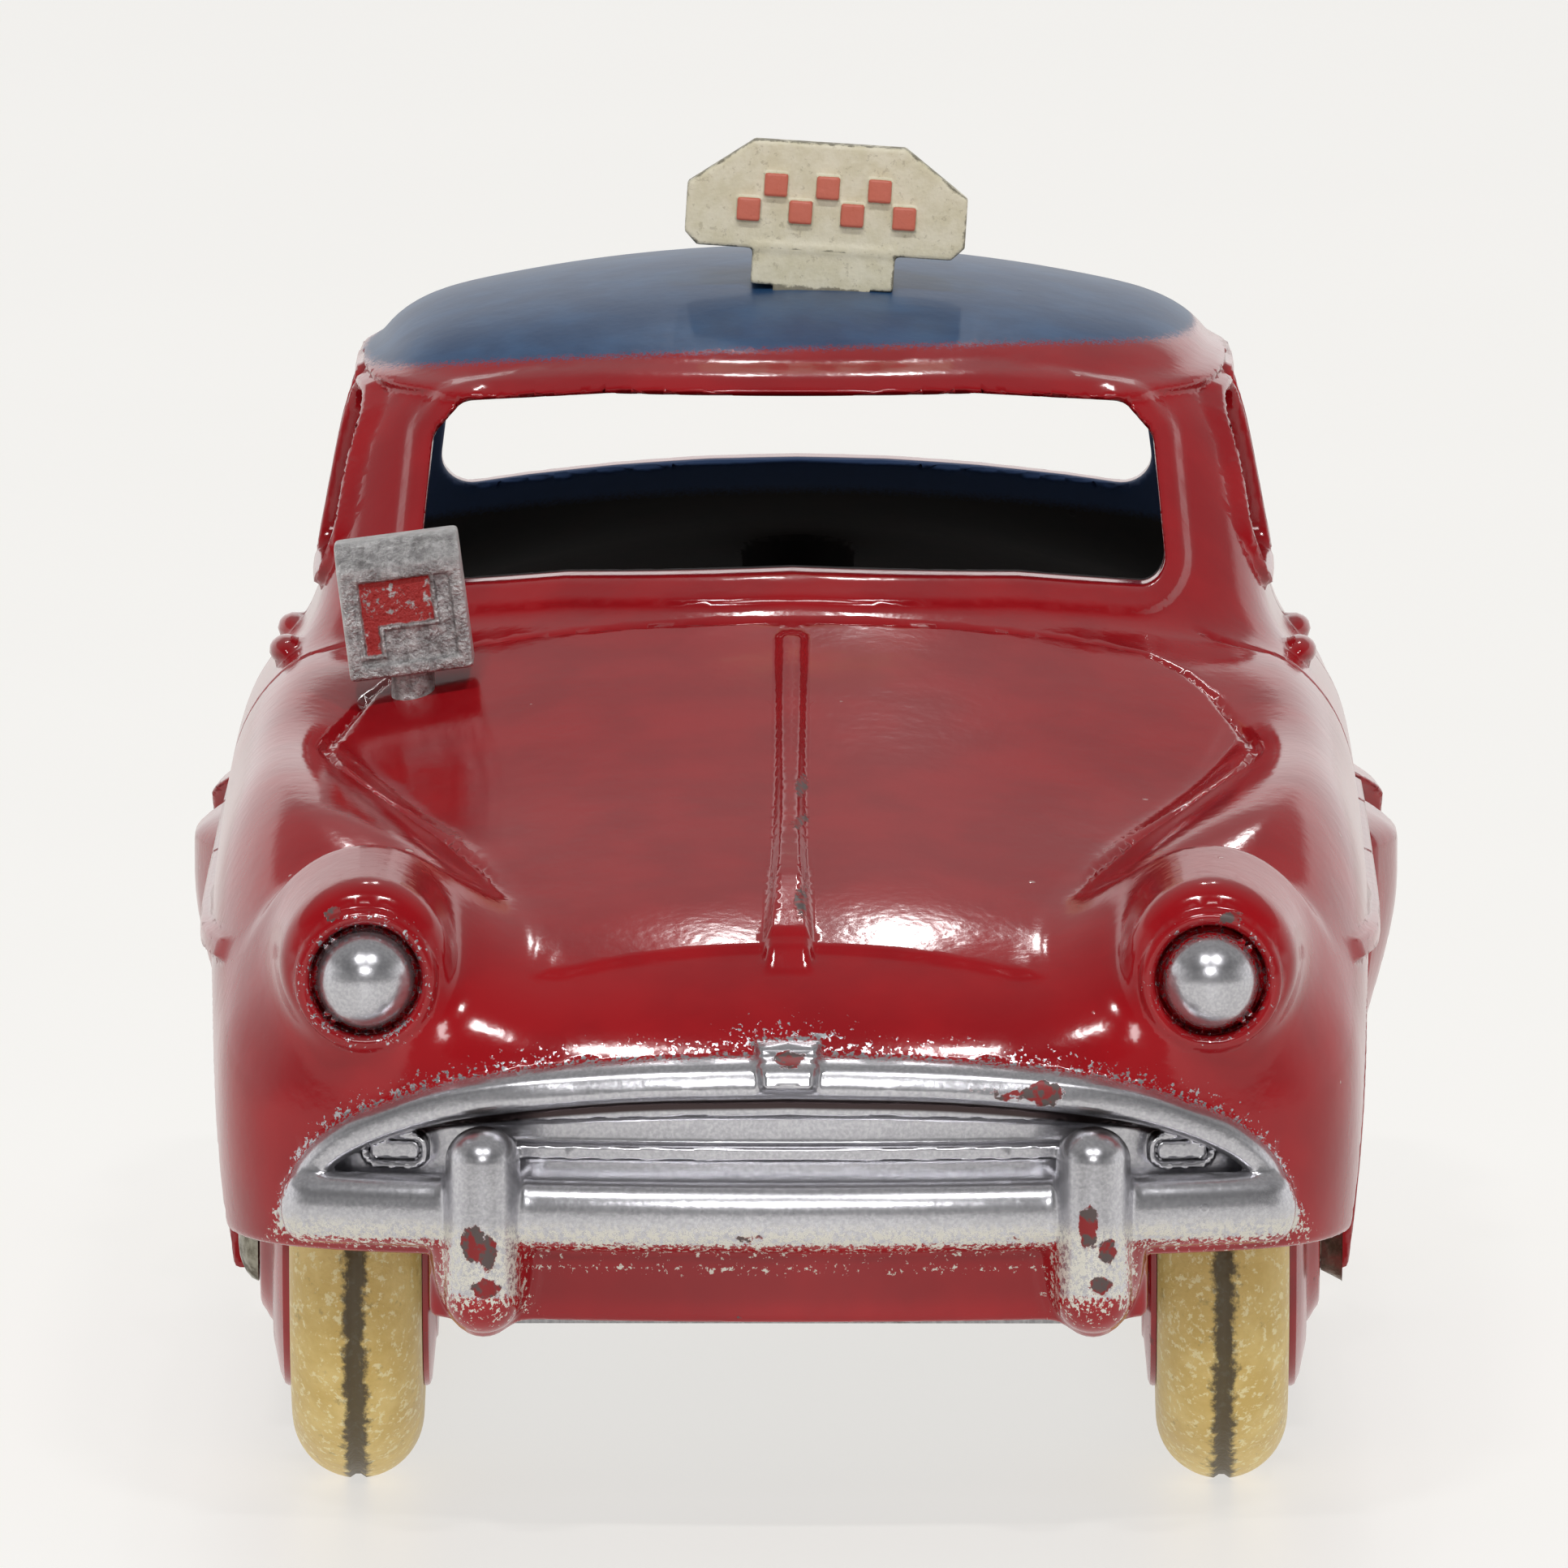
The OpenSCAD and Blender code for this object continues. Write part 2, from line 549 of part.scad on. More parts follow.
// Rubber tyre with a rounded tread and a moulded line round its middle
module tyre(side, y) color([0.8, 0.68, 0.36]) translate([side * tyre_x, y, axle_z]) rotate([0, 90, 0])
  rotate_extrude($fn = 72) {
    w = tyre_w / 2;
    difference() {
      intersection() {
        translate([seat_r + fit_gap, -w]) square([tyre_r - seat_r - fit_gap, tyre_w]);
        union() {
          translate([tyre_r - w, 0]) circle(w, $fn = 48);
          translate([0, -w]) square([tyre_r - w, tyre_w]);
        }
      }
      translate([tyre_r + 0.02, 0]) circle(0.16, $fn = 16);
    }
  }

// Chequered roof sign on a foot with a tab through the roof
module roof_sign() color([0.84, 0.81, 0.7]) translate([sign_x, sign_y, 0]) {
  tilt = [0, sign_tilt, 0];
  half = sign_w / 2;
  // tab and foot
  translate([-tab_w / 2, -foot_d / 2, sign_z - tab_h]) cube([tab_w, foot_d, 1.2 * tab_h]);
  translate([0, 0, sign_z]) rotate(tilt) {
    translate([-foot_w / 2, -foot_d / 2, 0]) cube([foot_w, foot_d, foot_h]);
    translate([0, -foot_d / 2, foot_h - 3 * sign_base]) {
      from_front(0, sign_t) polygon([[-half, 5 * sign_base], [4 * sign_base - half, sign_base],
        [half - 4 * sign_base, sign_base], [half, 5 * sign_base], [half, sign_h - sign_cut.y],
        [half - sign_cut.x, sign_h], [sign_cut.x - half, sign_h], [-half, sign_h - sign_cut.y]]);
      // chequer relief
      for (i = [0 : 6]) for (j = [0, 1]) if ((i + j) % 2 == 0)
        translate([(i - 3.5) * check + check_gap / 2, -check_out, check_z + j * check])
          cube([check - check_gap, 2 * check_out, check - check_gap]);
    }
  }
}

// Meter box with a sloping top and a flag on its face, on a pin in the scuttle
module taxi_meter() color([0.5, 0.5, 0.51]) translate([meter_x, meter_y, meter_z]) {
  translate([0, 0, -stem_in]) cylinder(d = stem_d, h = stem_in + stem_d / 2, $fn = 32);
  rotate([0, meter_roll, 0]) {
    front = -meter_d / 2;
    difference() {
      from_side(-meter_w / 2, meter_w / 2) polygon([[front, 0], [-front, 0], [-front, meter_h],
        [front + meter_cut, meter_h], [front, meter_h - meter_cut]]);
      translate([meter_rim - meter_w / 2, front - face_in, meter_rim])
        cube([meter_w - 2 * meter_rim, 2 * face_in, meter_h - meter_cut - 2 * meter_rim]);
    }
    translate([flag_x, front + face_in / 4, flag_z]) {
      cube([pole.x, 2 * face_in, pole.y + flag.y]);
      translate([0, 0, pole.y]) cube([flag.x, 2 * face_in, flag.y]);
    }
  }
}

body_shell();
base_plate();
axle(front_y);  // front_axle
axle(rear_y);  // rear_axle
wheel(-1, front_y);  // front_left_wheel
wheel(1, front_y);  // front_right_wheel
wheel(-1, rear_y);  // rear_left_wheel
wheel(1, rear_y);  // rear_right_wheel
tyre(-1, front_y);  // front_left_tyre
tyre(1, front_y);  // front_right_tyre
tyre(-1, rear_y);  // rear_left_tyre
tyre(1, rear_y);  // rear_right_tyre
roof_sign();
taxi_meter();
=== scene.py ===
import math
import bmesh
import bpy
import numpy as np
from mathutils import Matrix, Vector


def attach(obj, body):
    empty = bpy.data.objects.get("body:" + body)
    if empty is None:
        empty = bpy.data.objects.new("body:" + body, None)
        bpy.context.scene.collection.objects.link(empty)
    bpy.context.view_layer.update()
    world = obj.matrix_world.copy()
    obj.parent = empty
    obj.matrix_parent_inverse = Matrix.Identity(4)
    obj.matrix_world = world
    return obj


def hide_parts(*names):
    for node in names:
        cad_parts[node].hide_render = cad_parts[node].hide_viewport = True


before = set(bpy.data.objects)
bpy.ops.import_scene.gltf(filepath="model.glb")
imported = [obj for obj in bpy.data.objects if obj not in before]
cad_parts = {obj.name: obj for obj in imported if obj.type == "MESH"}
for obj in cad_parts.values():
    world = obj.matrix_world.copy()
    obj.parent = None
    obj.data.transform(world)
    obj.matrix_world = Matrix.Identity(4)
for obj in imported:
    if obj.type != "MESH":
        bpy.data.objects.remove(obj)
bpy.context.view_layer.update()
MM = 0.001

# Camera at the photograph's angle
cam = bpy.data.objects.new("camera", bpy.data.cameras.new("camera"))
bpy.context.scene.collection.objects.link(cam)
bpy.context.scene.camera = cam
target = Vector((-0.00018, -0.0305, 0.02071))
cam.location = (0.003, -0.8261, 0.1043)
cam.rotation_mode = "QUATERNION"
cam.rotation_quaternion = (target - cam.location).to_track_quat("-Z", "Y")
cam.data.sensor_width = 36
cam.data.lens = 618.6
cam.data.clip_start = 0.05
cam.data.clip_end = 20


# Curves and fields, in millimetres
def catmull(keys, s):
    x, v = np.array(keys, float).T
    n = len(x)
    a, b = np.maximum(np.arange(n) - 1, 0), np.minimum(np.arange(n) + 1, n - 1)
    m = (v[b] - v[a]) / (x[b] - x[a])
    i = np.clip(np.searchsorted(x, s, side="right") - 1, 0, n - 2)
    h = x[i + 1] - x[i]
    t = np.clip((s - x[i]) / h, 0, 1)
    u = 1 - t
    return ((1 + 2 * t) * u * u * v[i] + t * u * u * h * m[i] + t * t * (3 - 2 * t) * v[i + 1]
            - t * t * u * h * m[i + 1])


# spacing of the places where a curve is worked out
FINE = 0.02


def curve(keys, soft):
    """Curve through keys, rounded off over the length soft."""
    s = np.arange(-56, 56, FINE)
    r = int(4 * soft / FINE)
    w = np.exp(-0.5 * (np.arange(-r, r + 1) * FINE / soft) ** 2)
    v = np.convolve(np.pad(catmull(keys, s), r, mode="edge"), w / w.sum(), mode="valid")
    return lambda y: np.interp(y, s, v)


def smax(a, b, k):
    h = np.maximum(k - np.abs(a - b), 0) / k
    return np.maximum(a, b) + h * h * h * (k / 6)


def smin(a, b, k):
    return -smax(-a, -b, k)


def step3(a, b, v):
    t = np.clip((v - a) / (b - a), 0, 1)
    return t * t * (3 - 2 * t)


def hump(d, w):
    return np.exp(-((d / w) ** 2))


# by length: half width, height and crown of bonnet and boot, then place, height and width of the wing crests
side = curve([[-47.5, 14.4], [-43, 16.1], [-38, 16.9], [-30, 17.2], [-10, 17.3], [12, 17.3], [30, 17.1],
              [38, 16.5], [43, 15.6], [47.5, 14]], 1.2)
hood = curve([[-47, 14.2], [-45, 16.1], [-42.8, 17.2], [-36, 19], [-28, 20.9], [-16.5, 23.9], [-12, 24.4],
              [26, 24.4], [30, 24.2], [36, 23], [42, 20.4], [46, 16.6]], 1.2)
crown = curve([[-43, 0.0065], [-37, 0.0095], [-16, 0.009], [-8, 0.0085], [4, 0.011], [20, 0.0165],
               [32, 0.0165], [40, 0.01]], 1.5)
crest_x = curve([[-46, 11.6], [-41.5, 12.5], [-30, 15], [-22, 15.3], [-12, 14.5], [25, 14.3], [36, 13.6],
                 [45, 12]], 1.5)
crest_z = curve([[-47, 16], [-44.5, 18.2], [-41.5, 18.9], [-30, 20.9], [-22, 21.5], [-14, 22.5], [-6, 22.7],
                 [4, 22.3], [14, 21.5], [24, 20.6], [34, 19.6], [42, 18.2], [46, 15.8]], 1.2)
crest_w = curve([[-44, 3.6], [-34, 3.8], [-29, 3.1], [-24, 2.5], [-18, 2.6], [-12, 3.6]], 1.5)
# nose and tail by height, cabin roof by length as a share of its height
nose = curve([[5, -45.6], [8, -46], [13.6, -46], [15.6, -45.2], [17.4, -43.4], [20, -39.5]], 0.5)
tail = curve([[5, 45.8], [9, 46.6], [14, 46.4], [18, 44.6], [22, 40]], 0.5)
ROOF_KEYS = [[-6.5, 0.677], [-4.5, 0.793], [-1, 0.909], [4, 0.98], [9, 1], [15, 0.955]]
cabin_top = curve([[-25, -0.6], [-18, -0.12], [-13.5, 0.19], [-10, 0.435], *ROOF_KEYS, [20, 0.828],
                   [24, 0.616], [29.5, 0.152], [33, -0.14], [38, -0.6]], 0.8)
# upper and lower edge of the grille band, width and height of the bonnet rib
arch_top = curve([[-1, 14.3], [0, 14.3], [5, 14.1], [9.6, 13.5], [12.7, 12.4], [13.65, 11.75], [14.25, 11.1],
                  [14.6, 10.4], [15.5, 8]], 0.12)
arch_low = curve([[-1, 13.1], [0, 13.1], [5, 12.95], [9.6, 12.4], [11.5, 11.85], [12.7, 11.3], [13.4, 10.8],
                  [13.9, 10.2], [15.5, 8]], 0.12)
rib_w = curve([[-44, 0.62], [-42.4, 0.6], [-40, 0.5], [-36, 0.36], [-30, 0.3], [-17, 0.34]], 0.4)
rib_h = curve([[-44, 0.5], [-42.6, 0.5], [-39, 0.55], [-35, 0.42], [-29, 0.3], [-18, 0.28]], 0.4)

# belt line, roof height, wall thickness and how far the rear wheel covers stand out
BELT, ROOF, WALL, COVER = 23.4, 33.3, 1.3, 1.7
# how far the cabin's field runs down below the belt line, outside and inside
SUNK_OUT, SUNK_IN = 3.2, 6.0
# lamps as (x, z), overriders, height of the side trim
LAMP = (12.35, 16.4)
OVER_X = 8.9
TRIM_Z = 16.4
# bumpers: height, centre and radius of the bend
BUMPER_Z, BUMPER_Y, BUMPER_R = 9.7, -4.9, 41.4
BACK_BAR_Z, BACK_BAR_Y, BACK_BAR_R = 9.75, 5.5, 41.2
# wheels and the posts of the base
FRONT_Y, REAR_Y, AXLE_Z, ARCH_R = -30.5, 26.0, 7.25, 8.4
AXLE_R, BORE_R = 0.8, 0.85
# half length of the axle lugs
LUG = 2.2
POSTS = (-23.0, 36.75)
HANDLE_X = 15.45
# outward bow of nose and tail
BOW = 0.012
# depth and width of the seams
GROOVE, GROOVE_W = 0.16, 0.15
# value that is surely outside
FAR = 9.0


def half_w(y, z):
    return (side(y) - np.where(z < 12.5, (0.5 + 0.9 * step3(-36, -45, y)) * ((z - 12.5) / 7) ** 2, 0)
            - np.where(z > TRIM_Z, 0.6 * ((z - TRIM_Z) / 4.6) ** 2, 0)
            + COVER * step3(11, 19, y) * step3(43, 34, y) * step3(15.4, 13.9, z)
            * (0.25 + 0.75 * step3(4.5, 13, z)))


def top_z(x, y):
    d = x - crest_x(y)
    return smax(hood(y) - crown(y) * x * x, crest_z(y) - (d / np.where(d < 0, crest_w(y), 1.7)) ** 2, 1.2)


def skin(x, y, z, sunk=SUNK_OUT):
    """Outer field of the body without its fittings, negative inside."""
    bow = BOW * x * x
    low = smax(smax(x - half_w(y, z), 0.93 * (z - top_z(x, y)), 3.3),
               smax(0.95 * (nose(z) + bow - y), 0.95 * (y - tail(z) + bow), 1.5), 4.5)
    ye = 7 + (y - 7) * (1 + 0.001 * x * x)
    cab = smax(x - (14.25 - 0.19 * (z - 25.7)) + 0.0022 * np.maximum(np.abs(y - 6) - 4, 0) ** 2,
               0.84 * (z - BELT - (ROOF - BELT) * cabin_top(ye) + 0.0105 * x * x), 3.6)
    return smin(low, np.maximum(cab, BELT - sunk - z), 1.65)


def poly_dist(px, py, pts):
    """Signed distance to a closed polygon, negative inside."""
    pts = np.array(pts, float)
    d = np.full(np.broadcast(px, py).shape, 1e9)
    inside = np.zeros(d.shape, bool)
    for (ax, ay), (bx, by) in zip(pts, np.roll(pts, -1, axis=0)):
        ex, ey = bx - ax, by - ay
        t = np.clip(((px - ax) * ex + (py - ay) * ey) / (ex * ex + ey * ey), 0, 1)
        d = np.minimum(d, (px - ax - t * ex) ** 2 + (py - ay - t * ey) ** 2)
        cross = ((ay > py) != (by > py)) & (px < ex * (py - ay) / (ey if ey else 1e-9) + ax)
        inside ^= cross
    d = np.sqrt(d)
    return np.where(inside, -d, d)


def rounded(px, py, pts, r):
    """Polygon pulled in by r and grown again, so its corners are round."""
    pts = np.array(pts, float)
    n = len(pts)
    area = sum(pts[i][0] * pts[(i + 1) % n][1] - pts[(i + 1) % n][0] * pts[i][1] for i in range(n))
    if area < 0:
        pts = pts[::-1]
    inner = []
    for i in range(n):
        a, p, b = pts[i - 1], pts[i], pts[(i + 1) % n]
        e0, e1 = (p - a) / np.linalg.norm(p - a), (b - p) / np.linalg.norm(b - p)
        n0, n1 = np.array([-e0[1], e0[0]]), np.array([-e1[1], e1[0]])
        m = (n0 + n1) / (1 + n0 @ n1)
        inner.append(p + r * m)
    return poly_dist(px, py, inner) - r


# windscreen half width, low and top edge, then low and top edge of the door windows
SW, SL, ST, DL, DT = 11.4, 25.4, 30.1, 24.6, 29.7
SCREEN = [[-SW, SL - 0.75], [-SW * 0.6, SL - 0.25], [0, SL], [SW * 0.6, SL - 0.25], [SW, SL - 0.75],
          [SW - 0.4, ST - 1.3], [SW - 1.3, ST - 0.35], [SW * 0.5, ST], [-SW * 0.5, ST], [1.3 - SW, ST - 0.35],
          [0.4 - SW, ST - 1.3]]
BACK = [[x * SW, DL + 0.4 - 0.7 * x * x] for x in np.linspace(-1, 1, 9)]
BACK += [[SW - 0.7, DT], [0, DT + 0.3], [0.7 - SW, DT]]
DOOR_A = [[-7, DL], [2.6, DL], [2.6, DT], [-0.8, DT - 0.1], [-2.2, DT - 0.7]]
DOOR_B = [[4.4, DL], [19.6, DL], [18.6, DT - 2.2], [15.4, DT - 0.2], [4.4, DT]]
# edge of the bonnet panel seen from above
SEAM = [[0, -16.1], [4.5, -15.7], [8.5, -15.15], [10.7, -15.3], [11.9, -16.5], [12.7, -18], [13.4, -20.4],
        [13.85, -22.6], [13.95, -24.2], [13.6, -25.8], [12.8, -27.3], [11.5, -29.2], [10.1, -32.2],
        [9, -35.2], [8, -39.3], [7.5, -41.5], [7.3, -42.5]]
BONNET = SEAM + [[4, -42.0], [0, -41.8], [-4, -42.0]] + [[-x, y] for x, y in SEAM[:0:-1]]
HANDLES = [(y, float(top_z(np.array([HANDLE_X]), np.array([y]))[0]) - 0.1) for y in (-8.0, 3.6)]


def box_dist(x, y, z, lo, hi):
    return np.maximum(np.maximum(np.abs(x - (lo[0] + hi[0]) / 2) - (hi[0] - lo[0]) / 2,
                                 np.abs(y - (lo[1] + hi[1]) / 2) - (hi[1] - lo[1]) / 2),
                      np.abs(z - (lo[2] + hi[2]) / 2) - (hi[2] - lo[2]) / 2)


def solid(x, y, z):
    """Field of the whole casting for x >= 0, negative inside."""
    b = skin(x, y, z)
    screen = rounded(x, z, SCREEN, 0.7)
    back = rounded(x, z, BACK, 1.0)
    doors = np.minimum(rounded(y, z, DOOR_A, 0.8), rounded(y, z, DOOR_B, 0.8))
    hollow = skin(x, y, z, SUNK_IN)
    up = step3(18, 19, z)
    # bonnet rib, and lip along the bonnet's front
    r = np.where(y < -16.8, rib_h(y) * step3(rib_w(y) + 0.2, rib_w(y) - 0.12, x) * step3(-16.8, -18, y)
                 * step3(-43.3, -42.6, y), 0) * step3(13, 14, z)
    lip = y + 41.9 + 0.013 * x * x
    r = r + (0.17 * step3(-0.5, -0.25, lip) * np.exp(-np.maximum(lip + 0.2, 0) / 1.2) * step3(7.7, 6.9, x)
             * step3(14, 15, z))
    # groove and rolled edge of the bonnet
    sd = poly_dist(x, y, BONNET) * 0.95
    r = r - GROOVE * hump(sd, GROOVE_W) * up + 0.06 * step3(0.05, -0.15, sd) * step3(-3, -0.2, sd) * up
    # frames of the windows
    above = step3(22.5, 23.2, z)
    r = r + 0.24 * step3(0.95, 0.5, screen) * step3(-0.3, 0.1, screen) * step3(-3, -4, y) * above
    r = r + 0.3 * step3(0.8, 0.55, back) * step3(16, 17, y) * above
    r = r + 0.3 * step3(0.5, 0.3, doors) * step3(8, 9, x)
    # side trim, door seams, sill and drip bead
    r = r + (0.35 * step3(0.42, 0.22, np.abs(z - TRIM_Z)) * step3(-36.6, -35.6, y) * step3(10.6, 9.6, y)
             * step3(12, 13, x))
    on = step3(12, 13, x)
    for yd in (-11.5, 3.3, 15.2):
        r = r - GROOVE * hump(y - yd, 0.14) * on * step3(24.9, 24.3, z)
    r = r - 0.14 * hump(z - 7.0, 0.14) * on * step3(-18, -17, y) * step3(15.4, 14.8, y)
    drip = z - (30.35 - 0.0035 * (y - 5) ** 2)
    r = r + 0.28 * hump(drip, 0.22) * step3(9, 10, x) * step3(-7, -5.5, y) * step3(20, 18, y)
    # seam of the boot lid
    bd = np.abs(x - (10.6 - 0.09 * (y - 33)))
    r = r - GROOVE * hump(bd, GROOVE_W) * step3(31.5, 32.5, y) * step3(15, 16, z)
    r = r - GROOVE * hump(y - 32 + 0.004 * x * x, GROOVE_W) * step3(10.9, 10.2, x) * step3(15, 16, z)
    # grille band as raised moulding
    zt, zb = arch_top(x), arch_low(x)
    band = (z - (zt + zb) / 2) / np.maximum((zt - zb) / 2 + 0.06, 0.05)
    front = step3(-37, -39, y)
    r = r + 0.62 * np.maximum(1 - band ** 4, 0) * step3(14.75, 14.3, x) * front
    clip = np.maximum(np.abs(x) - 0.85 - 0.12 * (z - 14), np.abs(z - 14.05) - 0.62)
    r = r + 0.45 * step3(0.1, -0.12, clip) * front
    o = b - r
    # lamp mounds
    lr = np.sqrt((x - LAMP[0]) ** 2 + (z - LAMP[1]) ** 2)
    lrm = np.sqrt((x - LAMP[0]) ** 2 + (z - LAMP[1] - 0.35) ** 2)
    mound = smax(smax(lrm - 2.45 - 0.12 * np.minimum(y + 44.2, 6), -44.35 - y, 1.5), y + 38.5, 1.0)
    o = smin(o, mound, 1.7)
    # shell
    f = smax(o, -(hollow + WALL), 0.3)
    # lamp seat, ring and dome
    f = smax(f, -np.maximum(lr - 1.72, y + 43.75), 0.25)
    ring = np.sqrt((lr - 1.86) ** 2 + (y + 44.32) ** 2) - 0.22
    f = smin(f, ring, 0.2)
    f = np.minimum(f, smax(lr - 1.55, np.abs(y + 43.2) - 0.75, 0.2))
    dome = np.sqrt((x - LAMP[0]) ** 2 + (z - LAMP[1]) ** 2 + (y + 44.2) ** 2) - 1.42
    f = smin(f, dome, 0.08)
    # grille recess
    floor = -45.15 + x * x / 81
    rec = np.maximum(np.maximum(z - zb + 0.03, 9.7 - z), np.maximum(y - floor, x - 13.9))
    f = smax(f, -rec, 0.22)
    bars = np.maximum(np.maximum(np.abs(z - 11.45) - 0.2, x - 7.9), np.abs(y - floor + 0.3) - 0.45)
    f = smin(f, bars, 0.2)
    step = np.maximum(np.abs(z - 12.9 + 0.004 * x * x) - 0.35, x - 11)
    f = smin(f, np.maximum(step, np.abs(y - floor + 0.1) - 0.35), 0.4)
    pad = np.sqrt(np.maximum(np.abs(x - 11.5) - 0.52, 0) ** 2 + np.maximum(np.abs(z - 11.4) - 0.06, 0) ** 2)
    f = smin(f, np.maximum(np.abs(pad - 0.36) - 0.1, np.abs(y - floor + 0.3) - 0.5), 0.12)
    f = smin(f, smax(pad - 0.2, np.abs(y - floor + 0.2) - 0.45, 0.1), 0.08)
    # bumper bars
    rho = np.sqrt(x * x + (y - BUMPER_Y) ** 2)
    end = np.maximum(x - 14.0, 0)
    q = (np.abs((rho - BUMPER_R) / 0.98) ** 2.4 + np.abs((z - BUMPER_Z) / 1.05) ** 2.4
         + np.abs(end / 0.85) ** 2.4) ** (1 / 2.4)
    bar = np.where(y < -20, (q - 1) * 0.95, FAR)
    f = smin(f, bar, 0.35)
    rho = np.sqrt(x * x + (y - BACK_BAR_Y) ** 2)
    end = np.maximum(x - 13.1, 0)
    q = np.sqrt(((rho - BACK_BAR_R) / 0.77) ** 2 + (z - BACK_BAR_Z) ** 2 + (end / 0.85) ** 2)
    f = smin(f, np.where(y > 20, (q - 1) * 0.8, FAR), 0.35)
    # handles
    for yh, zh in HANDLES:
        hd = np.sqrt(((x - HANDLE_X) / 0.53) ** 2 + ((y - yh) / 1.28) ** 2 + ((z - zh) / 0.46) ** 2)
        f = smin(f, (hd - 1) * 0.45, 0.25)
    # lugs, bridge and posts inside
    inside = hollow + 0.4
    for yl, lug_top in ((FRONT_Y, 22), (REAR_Y, 17.2)):
        lug = box_dist(x, y, z, (6.4, yl - LUG, 5.9), (8.4, yl + LUG, lug_top))
        f = smin(f, np.maximum(lug, inside), 0.15)
    bridge = box_dist(x, y, z, (-17, REAR_Y - LUG, 16.15), (17, REAR_Y + LUG, 18.15))
    f = smin(f, np.maximum(bridge, inside), 0.15)
    for yp in POSTS:
        rp = np.sqrt(x * x + (y - yp) ** 2)
        post = np.maximum(np.maximum(rp - 1.8, 5.6 - z), inside)
        pin = np.maximum(rp - 0.8, np.abs(z - 5.7) - 0.6)
        head = np.maximum(rp - 1.3, np.abs(z - 5.2) - 0.1)
        f = np.minimum(np.minimum(f, post), np.minimum(pin, head))
    # openings
    f = smax(f, -np.maximum(screen, y + 1), 0.3)
    f = smax(f, -np.maximum(back, 16 - y), 0.3)
    f = smax(f, -np.maximum(doors, 8.5 - x), 0.3)
    # underside
    under = np.interp(y, [-34, -28, 39, 41], [6.5, 5.2, 5.2, 6.2])
    clear = np.minimum(*(np.sqrt(x * x + (y - yp) ** 2) for yp in POSTS)) - 2.2
    f = smax(f, np.minimum(under - z, clear), 0.3)
    corner = np.maximum(np.maximum(10.5 - x, z - 8.35), y + 36)
    f = smax(f, -corner, 0.5)
    # overriders
    dz = np.maximum(np.maximum(z - 11.3, 7.25 - z), 0)
    over = (np.sqrt(((x - OVER_X) / 1.09) ** 2 + ((y + 46.05) / 1.42) ** 2 + dz ** 2) - 1) * 1.05
    root = (np.sqrt(((x - OVER_X) / 1.5) ** 2 + ((y + 45.05) / 1.3) ** 2 + ((z - 8.5) / 2.5) ** 2) - 1) * 1.3
    f = smin(f, smin(over, root, 0.4), 0.45)
    # wheel openings and axle bores
    for yw in (FRONT_Y, REAR_Y):
        rw = np.sqrt((y - yw) ** 2 + (z - AXLE_Z) ** 2)
        f = smax(f, -np.maximum(rw - ARCH_R, 10.5 - x), 0.3)
        f = np.maximum(f, -np.maximum(rw - BORE_R, x - 10.6))
    return f


# Surface of a field
BLOCK = 24


def axis(parts):
    """Grid line places from (start, end, spacing) rows."""
    out = [parts[0][0]]
    for a, b, h in parts:
        n = max(1, int(round((b - a) / h)))
        out += list(a + (b - a) * np.arange(1, n + 1) / n)
    return np.array(out)


CORNERS = [(a, b, c) for a in (0, 1) for b in (0, 1) for c in (0, 1)]
EDGES = [(p, q) for p in CORNERS for q in CORNERS if p < q and sum(abs(u - v) for u, v in zip(p, q)) == 1]


def crossed_cells(g):
    """Cells of a grid of field values that the surface crosses, with their numbers."""
    s = g < 0
    shape = [n - 1 for n in g.shape]
    n = sum(s[a:shape[0] + a, b:shape[1] + b, c:shape[2] + c].astype(np.uint8) for a, b, c in CORNERS)
    cells = np.nonzero((n > 0) & (n < 8))
    number = np.full(n.shape, -1, np.int32)
    number[cells] = np.arange(len(cells[0]))
    return s, cells, number


def cell_quads(s, number):
    """Quads between the crossed cells round each crossed grid edge."""
    quads = []

    def add(mask, off, cells):
        a = [q + o for q, o in zip(np.nonzero(mask), off)]
        q = np.stack([number[tuple(u + d for u, d in zip(a, c))] for c in cells], 1)
        back = ~s[tuple(a)]
        q[back] = q[back][:, ::-1]
        quads.append(q)

    add(s[:-1, 1:-1, 1:-1] != s[1:, 1:-1, 1:-1], (0, 1, 1), [(0, -1, -1), (0, 0, -1), (0, 0, 0), (0, -1, 0)])
    add(s[1:-1, :-1, 1:-1] != s[1:-1, 1:, 1:-1], (1, 0, 1), [(-1, 0, -1), (-1, 0, 0), (0, 0, 0), (0, 0, -1)])
    add(s[1:-1, 1:-1, :-1] != s[1:-1, 1:-1, 1:], (1, 1, 0), [(-1, -1, 0), (0, -1, 0), (0, 0, 0), (-1, 0, 0)])
    return np.vstack(quads)


